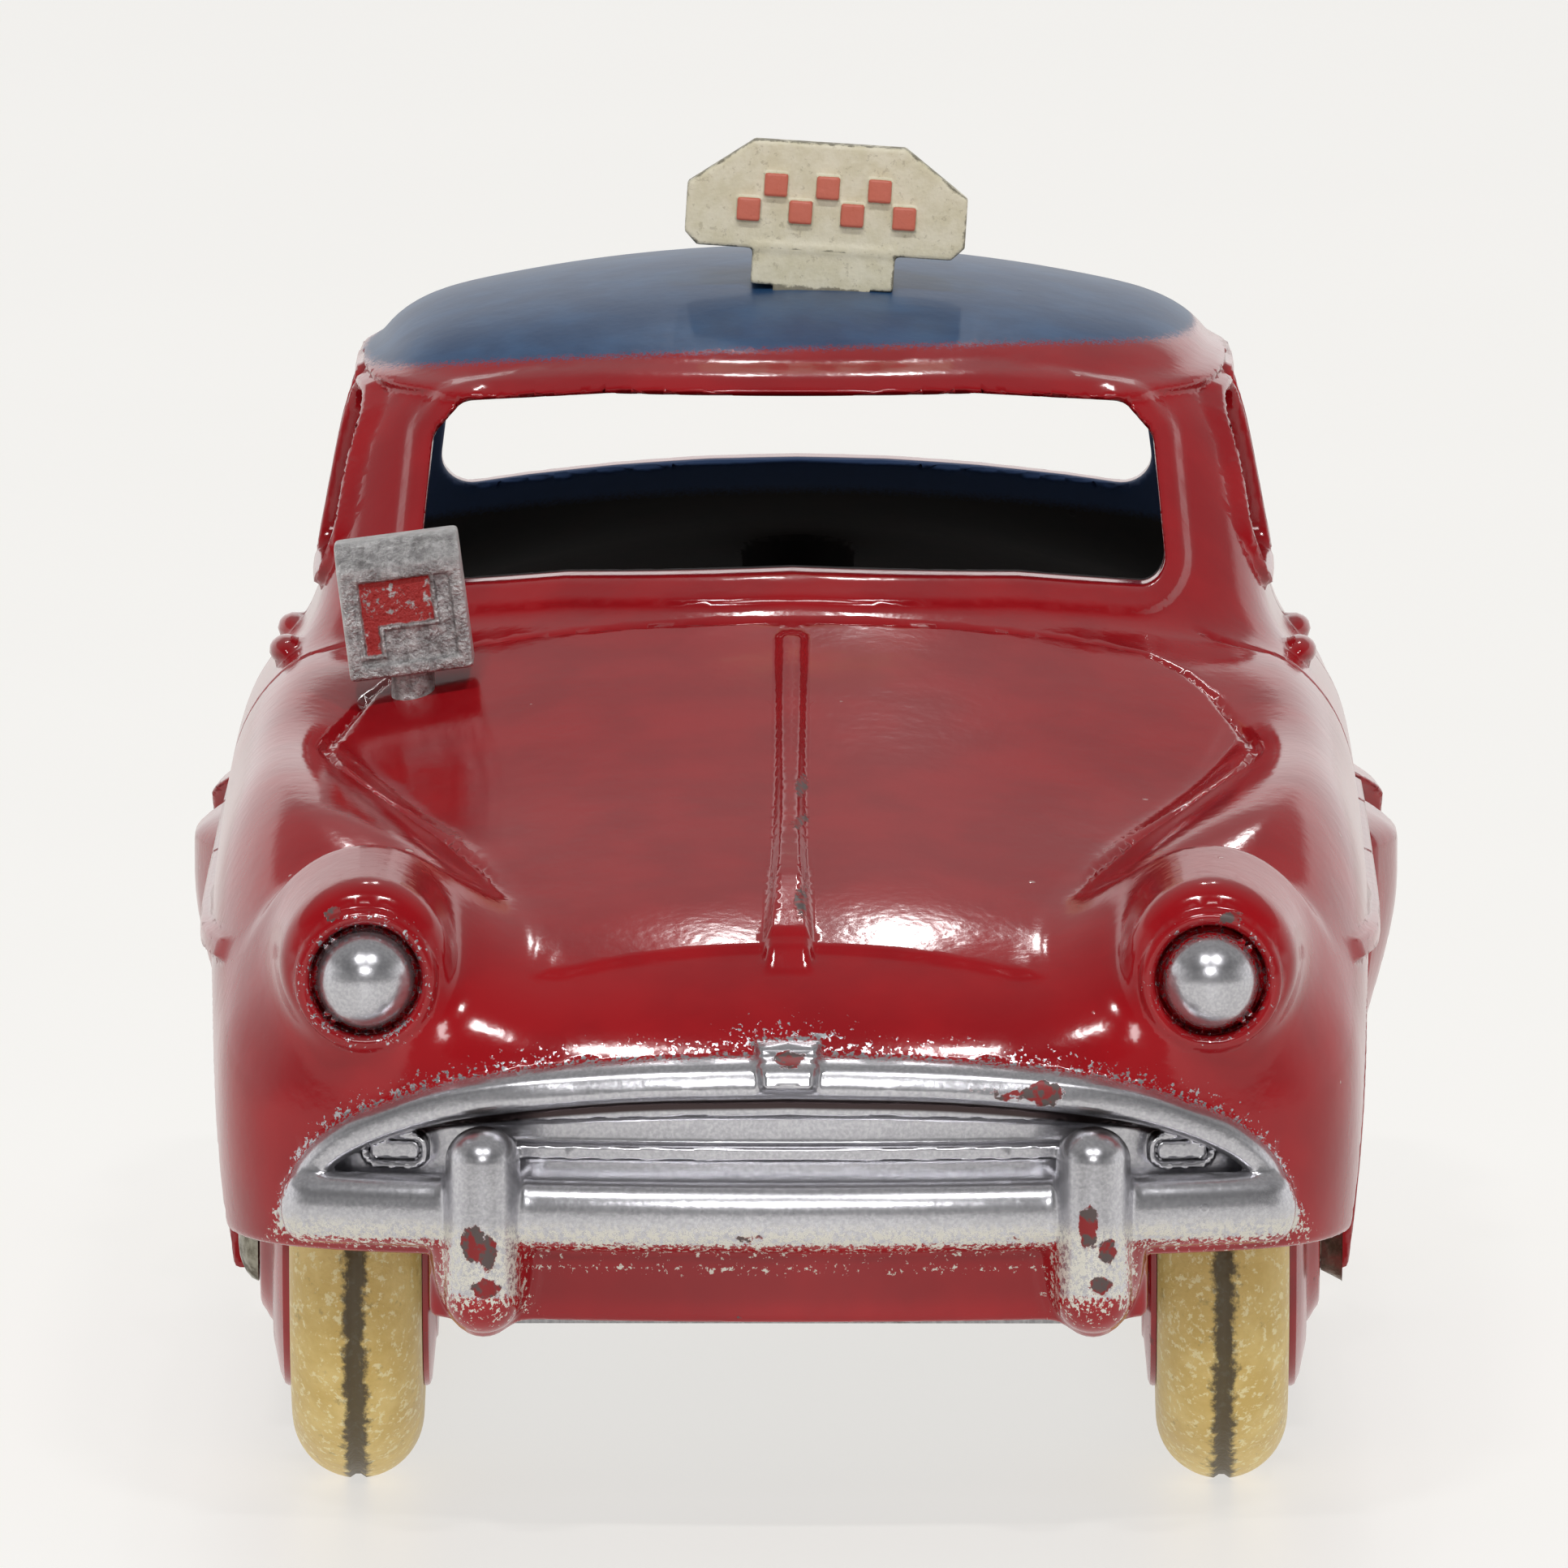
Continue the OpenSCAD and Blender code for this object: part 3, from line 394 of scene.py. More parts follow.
def half_surface(fn, xs, ys, zs):
    """Surface net of a field that is mirrored at x = 0, for the side of positive x."""
    g = np.empty((len(xs), len(ys), len(zs)), np.float32)
    for j in range(0, len(ys), BLOCK):
        g[:, j:j + BLOCK] = fn(np.abs(xs)[:, None, None], ys[None, j:j + BLOCK, None], zs[None, None, :])
    s, (i, j, k), number = crossed_cells(g)
    acc, w = np.zeros((len(i), 3)), np.zeros(len(i))
    for p, q in EDGES:
        ga, gb = g[i + p[0], j + p[1], k + p[2]], g[i + q[0], j + q[1], k + q[2]]
        m = (ga < 0) != (gb < 0)
        t = (ga[m] / (ga[m] - gb[m]))[:, None]
        pa = np.stack([xs[i[m] + p[0]], ys[j[m] + p[1]], zs[k[m] + p[2]]], 1)
        pb = np.stack([xs[i[m] + q[0]], ys[j[m] + q[1]], zs[k[m] + q[2]]], 1)
        acc[m] += pa + t * (pb - pa)
        w[m] += 1
    v = acc / w[:, None]
    v[i == 0, 0] = 0.0
    return v, cell_quads(s, number)


def slope(fn, p, e):
    """Gradient of a field at points."""
    x, y, z = p.T
    return np.stack([fn(x + e, y, z) - fn(x - e, y, z), fn(x, y + e, z) - fn(x, y - e, z),
                     fn(x, y, z + e) - fn(x, y, z - e)], 1) / (2 * e)


def to_surface(fn, p, e, most):
    """Step of points towards the surface of a field, at most so far along each axis."""
    g = slope(fn, p, e)
    return np.clip(-(fn(*p.T) / np.maximum((g * g).sum(1), 0.2))[:, None] * g, -most, most)


def unit(v):
    return v / np.maximum(np.linalg.norm(v, axis=1), 1e-6)[:, None]


def mesh_from(name, v, f):
    me = bpy.data.meshes.new(name)
    me.from_pydata(v.tolist() if hasattr(v, "tolist") else v, [], f.tolist() if hasattr(f, "tolist") else f)
    me.update()
    return me


def smooth(me, normals=None):
    me.polygons.foreach_set("use_smooth", np.ones(len(me.polygons), bool))
    if normals is not None:
        me.normals_split_custom_set_from_vertices(normals.tolist())


def add_values(me, **values):
    """Point values that the materials read by name."""
    for label, val in values.items():
        at = me.attributes.new(label, "FLOAT", "POINT")
        at.data.foreach_set("value", val.astype(np.float32))


def link(name, me):
    o = bpy.data.objects.new(name, me)
    bpy.context.scene.collection.objects.link(o)
    return o


# Body casting
K = 1.0
HALF_TRIANGLES = 72000
xs = axis([(-0.1 * K, 0.1 * K, 0.2 * K), (0.1 * K, 10.4, 0.2 * K), (10.4, 12.8, 0.11 * K),
           (12.8, 19.5, 0.2 * K)])
ys = axis([(-47.9, -40.5, 0.14 * K), (-40.5, -15, 0.3 * K), (-15, 22, 0.26 * K), (22, 43, 0.36 * K),
           (43, 47.8, 0.25 * K)])
zs = axis([(4.9, 10.5, 0.2 * K), (10.5, 13.3, 0.1 * K), (13.3, 33.9, 0.2 * K)])
verts, quads = half_surface(solid, xs, ys, zs)


def both_sides(x, y, z):
    return solid(np.abs(x), y, z)


half = link("half", mesh_from("half", verts, quads))
mod = half.modifiers.new("thin", "DECIMATE")
mod.ratio = min(1.0, HALF_TRIANGLES / (2 * len(quads)))
dg = bpy.context.evaluated_depsgraph_get()
thin = bpy.data.meshes.new_from_object(half.evaluated_get(dg))
co = np.empty(len(thin.vertices) * 3, np.float32)
thin.vertices.foreach_get("co", co)
co = co.reshape(-1, 3).astype(float)
thin.calc_loop_triangles()
tri = np.empty(len(thin.loop_triangles) * 3, np.int32)
thin.loop_triangles.foreach_get("vertices", tri)
tri = tri.reshape(-1, 3)
edges = np.sort(np.vstack([tri[:, [0, 1]], tri[:, [1, 2]], tri[:, [2, 0]]]), axis=1)
uniq, cnt = np.unique(edges, axis=0, return_counts=True)
rim = np.zeros(len(co), bool)
rim[uniq[cnt == 1].ravel()] = True
rim &= np.abs(co[:, 0]) < 0.15
for _ in range(3):
    co += to_surface(both_sides, co, 0.06, 0.08)
    co[rim, 0] = 0.0
co[~rim, 0] = np.maximum(co[~rim, 0], 0.004)
normal = slope(both_sides, co, 0.07)
normal[rim, 0] = 0
normal = unit(normal)
bpy.data.objects.remove(half)
other = np.arange(len(co))
other[~rim] = len(co) + np.arange((~rim).sum())
flip = np.array([-1.0, 1, 1])
co_all = np.vstack([co, co[~rim] * flip])
nrm_all = np.vstack([normal, normal[~rim] * flip])
tri_all = np.vstack([tri, other[tri][:, ::-1]])
me = mesh_from("body_casting", co_all * MM, tri_all)
smooth(me, nrm_all)
body = link("body_casting", me)

# distances that the paint follows, above 0 inside: silver, roof blue, hollow (its inside painted near-black
# as shade), rear haze, shadow line, chips
X, Y, Z = co_all.T
A = np.abs(X)
front_face = -40.5 + BOW * A * A - Y
silver = np.minimum.reduce([arch_top(A) + 0.03 - Z, Z - 8.92, 15.0 - A, front_face])
lamp_s = np.where(X < 0, 1.5, 1.33) - np.sqrt((A - LAMP[0]) ** 2 + (Z - LAMP[1]) ** 2 + 0.2 * (Y + 44.9) ** 2)
lamp_s = np.minimum(lamp_s, -43.9 - Y)
clip_s = np.minimum(0.95 - A, 14.75 - Z)
clip_s = np.minimum(clip_s, np.minimum(Z - 13, -40 - Y))
back_r = np.sqrt(A * A + (Y - BACK_BAR_Y) ** 2)
back_s = np.minimum(0.98 - np.abs(Z - BACK_BAR_Z), np.where(Y > 20, back_r - BACK_BAR_R + 0.15, -FAR))
silver = np.maximum.reduce([silver, lamp_s, clip_s, back_s])
blue = Z - (31.33 - 0.0035 * A * A + 0.027 * X)
depth = np.where(front_face > 0, 0, -skin(A, Y, Z, SUNK_IN))
haze = np.where(Y > 12, Z - 23.95 + 0.004 * A * A, -FAR)
# painted shadow under the lower edge of the grille band, partly dark paint
line = np.where(front_face > 0, 0.17 - np.abs(Z - arch_low(A) + 0.16), -FAR) - FAR * (A > 10.9)
# chips in the paint as (x, z, half width, half height), those of the overriders apart
CHIPS = [(7.5, 13.25, 0.5, 0.36), (5.5, 13.4, 0.35, 0.12), (6.4, 13.15, 0.3, 0.1), (12.9, 18.25, 0.3, 0.16),
         (-13.3, 18.35, 0.22, 0.2), (0.35, 20.6, 0.16, 0.2), (0.3, 19.9, 0.2, 0.1), (0.35, 18.3, 0.16, 0.35),
         (-1.3, 6.55, 0.2, 0.15), (0.0, 14.3, 0.42, 0.2), (-1.1, 9.15, 0.35, 0.12), (6.6, 9.0, 0.3, 0.1)]
OVER_CHIPS = [(-9.15, 9.0, 0.34, 0.55), (-8.75, 8.75, 0.26, 0.5), (-8.8, 7.7, 0.38, 0.26),
              (8.75, 9.5, 0.27, 0.6), (9.3, 8.8, 0.25, 0.35), (9.1, 7.8, 0.3, 0.25)]
chip = np.full(len(X), -FAR)
for cx, cz, rx, rz in CHIPS:
    d = 1 - np.sqrt(((X - cx) / rx) ** 2 + ((Z - cz) / rz) ** 2)
    chip = np.maximum(chip, np.where(Y < -20, d * min(rx, rz), -FAR))
add_values(me, silver=silver, blue=blue, depth=depth, chip=chip, haze=haze, line=line)


# Material helpers
def node(t, kind, ins=None, **props):
    n = t.nodes.new("ShaderNode" + kind)
    for k, v in props.items():
        setattr(n, k, v)
    for k, v in (ins or {}).items():
        if isinstance(v, bpy.types.NodeSocket):
            t.links.new(v, n.inputs[k])
        else:
            n.inputs[k].default_value = v
    return n


def ramp(t, v, a, b, lo, hi):
    return node(t, "MapRange", {0: v, 1: a, 2: b, 3: lo, 4: hi}, interpolation_type="SMOOTHSTEP").outputs[0]


class Paint:
    """Node material, with places in millimetres."""

    def __init__(self, name):
        self.m = bpy.data.materials.new(name)
        self.m.use_nodes = True
        self.t = self.m.node_tree
        self.t.nodes.clear()
        self.out = node(self.t, "OutputMaterial")
        tc = node(self.t, "TexCoord")
        self.p = self.vector("MULTIPLY", tc.outputs["Object"], (1 / MM,) * 3).outputs[0]

    def vector(self, op, a, b=(0, 0, 0)):
        return node(self.t, "VectorMath", {0: a, 1: b}, operation=op)

    def math(self, op, a, b=0.0):
        return node(self.t, "Math", {0: a, 1: b}, operation=op).outputs[0]

    def times(self, a, b):
        return self.math("MULTIPLY", a, b)

    def plus(self, a, b):
        return self.math("ADD", a, b)

    def less(self, a, b):
        return self.math("SUBTRACT", a, b)

    def ragged(self, a, noise, amount, mid=0.5):
        """Value a, pushed up and down by a noise."""
        return self.plus(a, self.times(self.less(noise, mid), amount))

    def attr(self, name):
        return node(self.t, "Attribute", attribute_name=name).outputs["Fac"]

    def noise(self, scale, detail=2.0, rough=0.5, vec=None):
        ins = {"Vector": vec or self.p, "Scale": scale, "Detail": detail, "Roughness": rough}
        return node(self.t, "TexNoise", ins).outputs[0]

    def range(self, v, a, b, lo=0.0, hi=1.0):
        return ramp(self.t, v, a, b, lo, hi)

    def mix(self, f, a, b):
        n = node(self.t, "Mix", data_type="RGBA")
        for k, v in ((0, f), (6, a), (7, b)):
            if isinstance(v, bpy.types.NodeSocket):
                self.t.links.new(v, n.inputs[k])
            else:
                n.inputs[k].default_value = v if k == 0 else (*v, 1)
        return n.outputs[2]

    def dots(self, scale, radius, share):
        v = node(self.t, "TexVoronoi", {"Vector": self.p, "Scale": scale})
        sep = node(self.t, "SeparateColor", {0: v.outputs["Color"]})
        here = self.math("GREATER_THAN", sep.outputs[0], 1 - share)
        size = self.times(sep.outputs[1], radius)
        return self.times(here, self.range(v.outputs["Distance"], size, self.times(size, 0.6)))

    def bump(self, height, strength, dist):
        return node(self.t, "Bump", {"Height": height, "Strength": strength, "Distance": dist}).outputs[0]

    def finish(self, color, rough, metal=0.0, normal=None, **sockets):
        b = node(self.t, "BsdfPrincipled", {"Roughness": rough, "Metallic": metal})
        self.t.links.new(color, b.inputs["Base Color"])
        for k, v in sockets.items():
            b.inputs[k.replace("_", " ")].default_value = v
        if normal is not None:
            self.t.links.new(normal, b.inputs["Normal"])
        self.t.links.new(b.outputs[0], self.out.inputs[0])
        return self.m


def srgb(r, g, b):
    return tuple(((c / 255 + 0.055) / 1.055) ** 2.4 if c > 10 else c / 3294 for c in (r, g, b))


# Red, blue and silver paint of the casting
m = Paint("body_paint")
peel = m.noise(1.1, 2)
fine = m.noise(9, 3, 0.6)
red = m.mix(m.range(m.noise(0.35, 3), 0.3, 0.7), srgb(150, 15, 24), srgb(164, 19, 27))
dust = m.dots(0.55, 0.09, 0.35)
red = m.mix(m.times(dust, 0.55), red, srgb(215, 190, 185))
blue_m = m.range(m.ragged(m.attr("blue"), fine, 0.5), -0.1, 0.12)
roof_blue = m.mix(m.range(m.noise(0.5, 4, 0.6), 0.35, 0.7), srgb(33, 68, 108), srgb(44, 84, 126))
col = m.mix(blue_m, red, roof_blue)
speck = m.noise(5.5, 3, 0.75)
sep = node(m.t, "SeparateXYZ", {0: m.p})
px, py, pz = sep.outputs
ax = m.math("ABSOLUTE", px)
# paint of the overriders, worn towards the foot
over = m.less(1.0, m.math("ABSOLUTE", m.less(ax, OVER_X)))
over = m.math("MINIMUM", over, m.times(m.less(pz, 7.4), 0.6))
over = m.math("MINIMUM", over, m.less(-45.5, py))
# row of specks on the apron
apron = m.less(-0.22, m.times(m.math("ABSOLUTE", m.less(pz, 8.1)), 2.2))
apron = m.less(apron, m.times(m.math("GREATER_THAN", ax, 7.9), FAR))
apron = m.less(apron, m.times(m.math("GREATER_THAN", py, -40.0), FAR))
silver_a = m.math("MAXIMUM", m.math("MAXIMUM", m.attr("silver"), over), apron)
edge = m.ragged(silver_a, speck, 4.2)
edge2 = m.ragged(silver_a, fine, 0.45)
specks = m.times(m.range(edge, 0.0, 0.12), m.range(silver_a, -0.95, -0.4))
silver_m = m.math("MAXIMUM", m.range(edge2, -0.02, 0.06), specks)
chip_a = m.attr("chip")
for cx, cz, rx, rz in OVER_CHIPS:
    away = m.vector("MULTIPLY", m.vector("SUBTRACT", m.p, (cx, 0, cz)).outputs[0], (1 / rx, 0, 1 / rz))
    away = m.vector("LENGTH", away.outputs[0]).outputs["Value"]
    blot = m.times(m.less(1.0, away), min(rx, rz))
    chip_a = m.math("MAXIMUM", chip_a, m.math("MINIMUM", blot, m.less(-45.0, py)))
chip_n = m.ragged(chip_a, m.noise(4.5, 4, 0.65), 0.35, 0.45)
chip_m = m.range(chip_n, -0.01, 0.02)
silver_m = m.times(silver_m, m.less(1.0, chip_m))
chip_col = m.mix(m.range(m.noise(2.5, 3), 0.45, 0.55), srgb(140, 28, 30), srgb(88, 74, 72))
col = m.mix(chip_m, col, chip_col)
silver_col = m.mix(m.range(fine, 0.3, 0.75), srgb(190, 189, 194), srgb(212, 211, 215))
# dark line under the grille band: painted shadow, partly dark paint
silver_col = m.mix(m.range(m.attr("line"), -0.06, 0.05), silver_col, srgb(72, 60, 60))
pale = m.times(m.range(pz, 9.7, 9.15), m.range(speck, 0.4, 0.56))
pale = m.times(pale, m.math("LESS_THAN", py, 0.0))
silver_col = m.mix(pale, silver_col, srgb(224, 220, 209))
col = m.mix(silver_m, col, silver_col)
# inside of the hollow painted near-black, deeper than about half a millimetre into the wall: painted shade
inner = m.range(m.attr("depth"), 0.5, 0.85)
col = m.mix(inner, col, m.mix(m.range(m.noise(0.8, 3), 0.35, 0.65), srgb(12, 5, 7), srgb(22, 8, 10)))
haze = m.times(inner, m.range(m.ragged(m.attr("haze"), fine, 0.4), -0.25, 0.2))
col = m.mix(haze, col, srgb(40, 68, 112))
rough = m.plus(m.times(blue_m, 0.24), 0.13)
rough = m.plus(rough, m.times(silver_m, 0.12))
rough = m.plus(rough, m.times(inner, 0.65))
rough = m.plus(rough, m.times(chip_m, 0.3))
h = m.plus(m.times(peel, 0.5), m.times(m.noise(3.2, 2), 0.22))
h = m.plus(h, m.times(fine, m.plus(0.02, m.times(silver_m, 0.08))))
h = m.plus(h, m.times(dust, 0.5))
h = m.less(h, m.times(chip_m, 0.6))
nrm = m.bump(h, 0.35, 0.00006)
metal = m.times(silver_m, m.less(0.88, m.times(pale, 0.7)))
BODY = m.finish(col, rough, metal, nrm)
me.materials.append(BODY)
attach(body, "car")
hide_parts("body_shell")


# Turned pieces
def revolve(name, profile, x0, y0, z0, side, seg=96):
    """Profile of (radius, offset along x) turned about the axle."""
    a = np.linspace(0, 2 * math.pi, seg, endpoint=False)
    n = len(profile)
    v = [(x0 + side * o, y0 + r * math.cos(t), z0 + r * math.sin(t)) for t in a for r, o in profile]
    f = []
    for i in range(seg):
        k = (i + 1) % seg
        for j in range(n - 1):
            q = [i * n + j, i * n + j + 1, k * n + j + 1, k * n + j]
            f.append(q if side > 0 else q[::-1])
    me = mesh_from(name, np.array(v) * MM, f)
    bm = bmesh.new()
    bm.from_mesh(me)
    bmesh.ops.remove_doubles(bm, verts=bm.verts, dist=1e-7)
    bmesh.ops.recalc_face_normals(bm, faces=bm.faces)
    bm.to_mesh(me)
    bm.free()
    smooth(me)
    me.set_sharp_from_angle(angle=math.radians(34))
    return link(name, me)


def arc(cx, cy, r, a0, a1, n):
    turns = np.radians(np.linspace(a0, a1, n))
    return [(cx + r * math.cos(a), cy + r * math.sin(a)) for a in turns]


# tyre radius, width and place, and radius of its seat on the hub
TR, TW, TX, SEAT = 7.25, 3.9, 12.83, 4.1
w = TW / 2
tyre_profile = [(SEAT + 0.02, -w + 0.15), (SEAT + 0.15, -w)]
tyre_profile += [(r, -w) for r in np.linspace(SEAT + 0.5, TR - w, 5)]
tyre_profile += arc(TR - w, 0, w, -90, -7, 16)[1:]
tyre_profile += [(TR - 0.06, -0.17), (TR - 0.12, -0.08), (TR - 0.12, 0.08), (TR - 0.06, 0.17)]
tyre_profile += arc(TR - w, 0, w, 7, 90, 16)[:-1]
tyre_profile += [(r, w) for r in np.linspace(TR - w, SEAT + 0.5, 5)]
tyre_profile += [(SEAT + 0.15, w), (SEAT + 0.02, w - 0.15), (SEAT + 0.02, -w + 0.15)]

m = Paint("tyre_rubber")
xyz = node(m.t, "SeparateXYZ", {0: m.p})
off = m.math("ABSOLUTE", m.less(m.math("ABSOLUTE", xyz.outputs[0]), TX))
mould = m.range(m.ragged(off, m.noise(2.2, 4, 0.7), 0.9), 0.44, 0.2)
stain = m.range(m.noise(0.55, 4, 0.65), 0.35, 0.7)
col = m.mix(stain, srgb(216, 184, 104), srgb(234, 207, 134))
# pale blotches on the rubber: painted highlights
col = m.mix(m.times(m.range(m.noise(3.5, 4, 0.7), 0.54, 0.62), 0.75), col, srgb(248, 236, 186))
col = m.mix(m.times(mould, 0.9), col, srgb(56, 45, 30))
grime = m.range(m.noise(1.6, 5, 0.7), 0.6, 0.72)
col = m.mix(m.times(grime, 0.35), col, srgb(105, 84, 44))
h = m.plus(m.times(m.noise(1.4, 3), 0.6), m.times(m.noise(6, 3), 0.3))
TYRE = m.finish(col, m.range(stain, 0, 1, 0.36, 0.5), 0.0, m.bump(h, 0.5, 0.00012), Subsurface_Weight=0.08)
TYRE.node_tree.nodes["Principled BSDF"].inputs["Subsurface Radius"].default_value = (0.0008, 0.0005, 0.0002)

m = Paint("hub_paint")
h = m.plus(m.times(m.noise(1.2, 2), 0.5), m.times(m.noise(5, 2), 0.15))
wear = m.range(m.noise(1.1, 5, 0.65), 0.62, 0.68)
col = m.mix(m.range(m.noise(0.5, 3), 0.3, 0.7), srgb(150, 20, 28), srgb(172, 28, 34))
col = m.mix(m.times(wear, 0.5), col, srgb(90, 60, 58))
HUB = m.finish(col, m.range(wear, 0, 1, 0.22, 0.5), 0.0, m.bump(h, 0.35, 0.00008), Coat_Weight=0.3,
               Coat_Roughness=0.08)

m = Paint("axle_steel")
grain = m.noise(7, 3, 0.6)
tarnish = m.range(m.noise(1.3, 4, 0.65), 0.4, 0.65)
col = m.mix(tarnish, srgb(158, 154, 140), srgb(92, 84, 68))
STEEL = m.finish(col, m.range(tarnish, 0, 1, 0.3, 0.55), m.range(tarnish, 0, 1, 0.95, 0.7),
                 m.bump(grain, 0.4, 0.00006))

# half length of the hub, half width of its tyre seat
HO = 2.9
wf = w + 0.02
hub_profile = [
    # inner face, tyre seat with its flanges, outer face
    (BORE_R, -HO + 0.4), (1.9, -HO + 0.4), (2.1, -HO + 0.46), (2.3, -HO + 0.62), (3.0, -wf - 0.4),
    (3.1, -wf - 0.34), (4.3, -wf - 0.22), (4.46, -wf - 0.16), (4.5, -wf - 0.08), (4.5, -wf),
    (4.12, -wf), (SEAT, -wf + 0.02), (SEAT, wf - 0.02), (4.12, wf), (4.5, wf), (4.5, wf + 0.1),
    (4.44, wf + 0.2), (4.1, wf + 0.34), (3.6, wf + 0.44), (3.18, wf + 0.53), (3.08, wf + 0.53),
    (3.02, wf + 0.44), (2.95, wf + 0.4), (2.75, wf + 0.44), (2.45, wf + 0.66), (2.25, HO - 0.16),
    (2.1, HO - 0.05), (1.95, HO), (BORE_R, HO), (BORE_R, -HO + 0.4)]
# axle: place of the heads, their height and radius
HEAD_X, HEAD_H, HEAD_R = TX + HO + 0.05, 0.63, 1.4
DOMED = [(0, 1), (0.3, 0.985), (0.63, 0.92), (0.9, 0.78), (1.12, 0.6), (1.3, 0.36), (1.38, 0.12)]
FLARED = [(HEAD_R * 0.75, 0), (HEAD_R * 0.85, 0.45), (HEAD_R * 0.97, 0.95), (HEAD_R, 1), (HEAD_R * 0.95, 1),
          (HEAD_R * 0.8, 0.78), (HEAD_R * 0.55, 0.6), (0.3, 0.52), (0, 0.5)]
axle_profile = [(r, -HEAD_X - HEAD_H * k) for r, k in DOMED]
axle_profile += [(HEAD_R, -HEAD_X - 0.02), (1.36, -HEAD_X), (AXLE_R, -HEAD_X), (AXLE_R, HEAD_X)]
axle_profile += [(r, HEAD_X + HEAD_H * k) for r, k in FLARED]
for place, y in (("front", FRONT_Y), ("rear", REAR_Y)):
    for word, s in (("left", -1), ("right", 1)):
        bod = f"{place}_{word}"
        o = revolve(f"{bod}_rubber", tyre_profile, s * TX, y, AXLE_Z, s)
        o.data.materials.append(TYRE)
        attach(o, bod)
        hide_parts(f"{bod}_tyre")
        o = revolve(f"{bod}_hub", hub_profile, s * TX, y, AXLE_Z, s)
        o.data.materials.append(HUB)
        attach(o, bod)
        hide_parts(f"{bod}_wheel")
    o = revolve(f"{place}_axle_wire", axle_profile, 0, y, AXLE_Z, 1)
    o.data.materials.append(STEEL)
    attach(o, f"{place}_axle")
    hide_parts(f"{place}_axle")

# Tin base keeps its solid
m = Paint("tin")
drawn = m.vector("MULTIPLY", m.p, (6, 0.35, 1)).outputs[0]
brush = m.noise(1.0, 3, 0.6, drawn)
rust = m.range(m.noise(0.4, 5, 0.65), 0.6, 0.7)
col = m.mix(m.range(brush, 0.3, 0.7), srgb(150, 150, 152), srgb(182, 182, 183))
col = m.mix(m.times(rust, 0.5), col, srgb(112, 92, 74))
TIN = m.finish(col, m.range(rust, 0, 1, 0.34, 0.6), m.range(rust, 0, 1, 0.95, 0.5),
               m.bump(brush, 0.3, 0.00005))
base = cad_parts["base_plate"]
base.data.materials.clear()
base.data.materials.append(TIN)


# Small castings from fields
def field_piece(fn, lo, hi, h):
    h = h * 1
    ax = [np.arange(a - 2 * h, b + 3 * h, h) for a, b in zip(lo, hi)]
    s, cells, number = crossed_cells(fn(ax[0][:, None, None], ax[1][None, :, None], ax[2][None, None, :]))
    v = np.stack([(a[i] + a[i + 1]) / 2 for a, i in zip(ax, cells)], 1)
    for _ in range(2):
        v = v + to_surface(fn, v, 0.03, h / 2)
    return v, cell_quads(s, number), unit(slope(fn, v, 0.03))


# Roof sign, in its own frame: x across, y front to back, z up from the roof
SIGN_X, SIGN_Y, TILT = 0.85, 1.8, math.radians(3.7)
SIGN_Z = BELT + (ROOF - BELT) * float(catmull(ROOF_KEYS, np.array([SIGN_Y]))[0]) - 0.1
# half width, top and foot of the plate, size of a square of the chequer
hw = 8.65 / 2
SIGN_TOP, FOOT_TOP, CHECK = 4.46, 1.1, 0.8
PLATE = [[-hw, 1.5], [0.4 - hw, FOOT_TOP], [hw - 0.4, FOOT_TOP], [hw, 1.5], [hw, 3.01], [hw - 2, SIGN_TOP],
         [2 - hw, SIGN_TOP], [-hw, 3.01]]


def sign_field(x, y, z):
    plate = smax(rounded(x, z, PLATE, 0.12), np.abs(y + 0.55) - 0.45, 0.22)
    foot = smax(smax(np.abs(x) - 2.2, np.abs(y) - 1.0, 0.2), np.abs(z - 0.65) - 0.65, 0.2)
    tab = np.maximum(np.maximum(np.abs(x) - 1.5, np.abs(y) - 1.0), np.abs(z + 0.8) - 1.2)
    f = smin(np.minimum(foot, tab), plate, 0.25)
    for i in range(7):
        for j in range(2):
            if (i + j) % 2 == 0:
                c = smax(np.abs(x - (i - 3) * CHECK) - 0.36, np.abs(z - 2.31 - j * CHECK) - 0.36, 0.12)
                f = smin(f, smax(c, np.abs(y + 1.0) - 0.2, 0.12), 0.1)
    return f


v, q, n = field_piece(sign_field, (-hw, -1.25, -2.05), (hw, 1.05, 4.5), 0.09)
cs, sn = math.cos(TILT), math.sin(TILT)
turn = np.array([[cs, 0, sn], [0, 1, 0], [-sn, 0, cs]])
me = mesh_from("sign_plate", (v @ turn.T + np.array([SIGN_X, SIGN_Y, SIGN_Z])) * MM, q)
smooth(me, n @ turn.T)
ink = np.minimum(-1.09 - v[:, 1], 0.1) * 10
edge = np.minimum(-rounded(v[:, 0], v[:, 2], PLATE, 0.12), 1.0)
edge = np.where(v[:, 2] < FOOT_TOP, np.minimum(2.2 - np.abs(v[:, 0]), np.minimum(v[:, 2], 1.0)), edge)
add_values(me, ink=ink, edge=edge)
m = Paint("sign_paint")
blotch = m.noise(1.3, 4, 0.65)
col = m.mix(m.range(blotch, 0.35, 0.65), srgb(219, 211, 182), srgb(231, 224, 200))
col = m.mix(m.times(m.range(m.noise(4, 4, 0.7), 0.58, 0.66), 0.35), col, srgb(150, 138, 110))
ink_m = m.range(m.ragged(m.attr("ink"), m.noise(3.5, 4, 0.7), 2.2), 0.0, 0.3)
col = m.mix(m.times(ink_m, 0.9), col, srgb(206, 88, 66))
worn = m.range(m.ragged(m.attr("edge"), m.noise(2.2, 5, 0.7), 0.45), 0.06, -0.02)
col = m.mix(m.times(worn, 0.75), col, srgb(110, 104, 90))
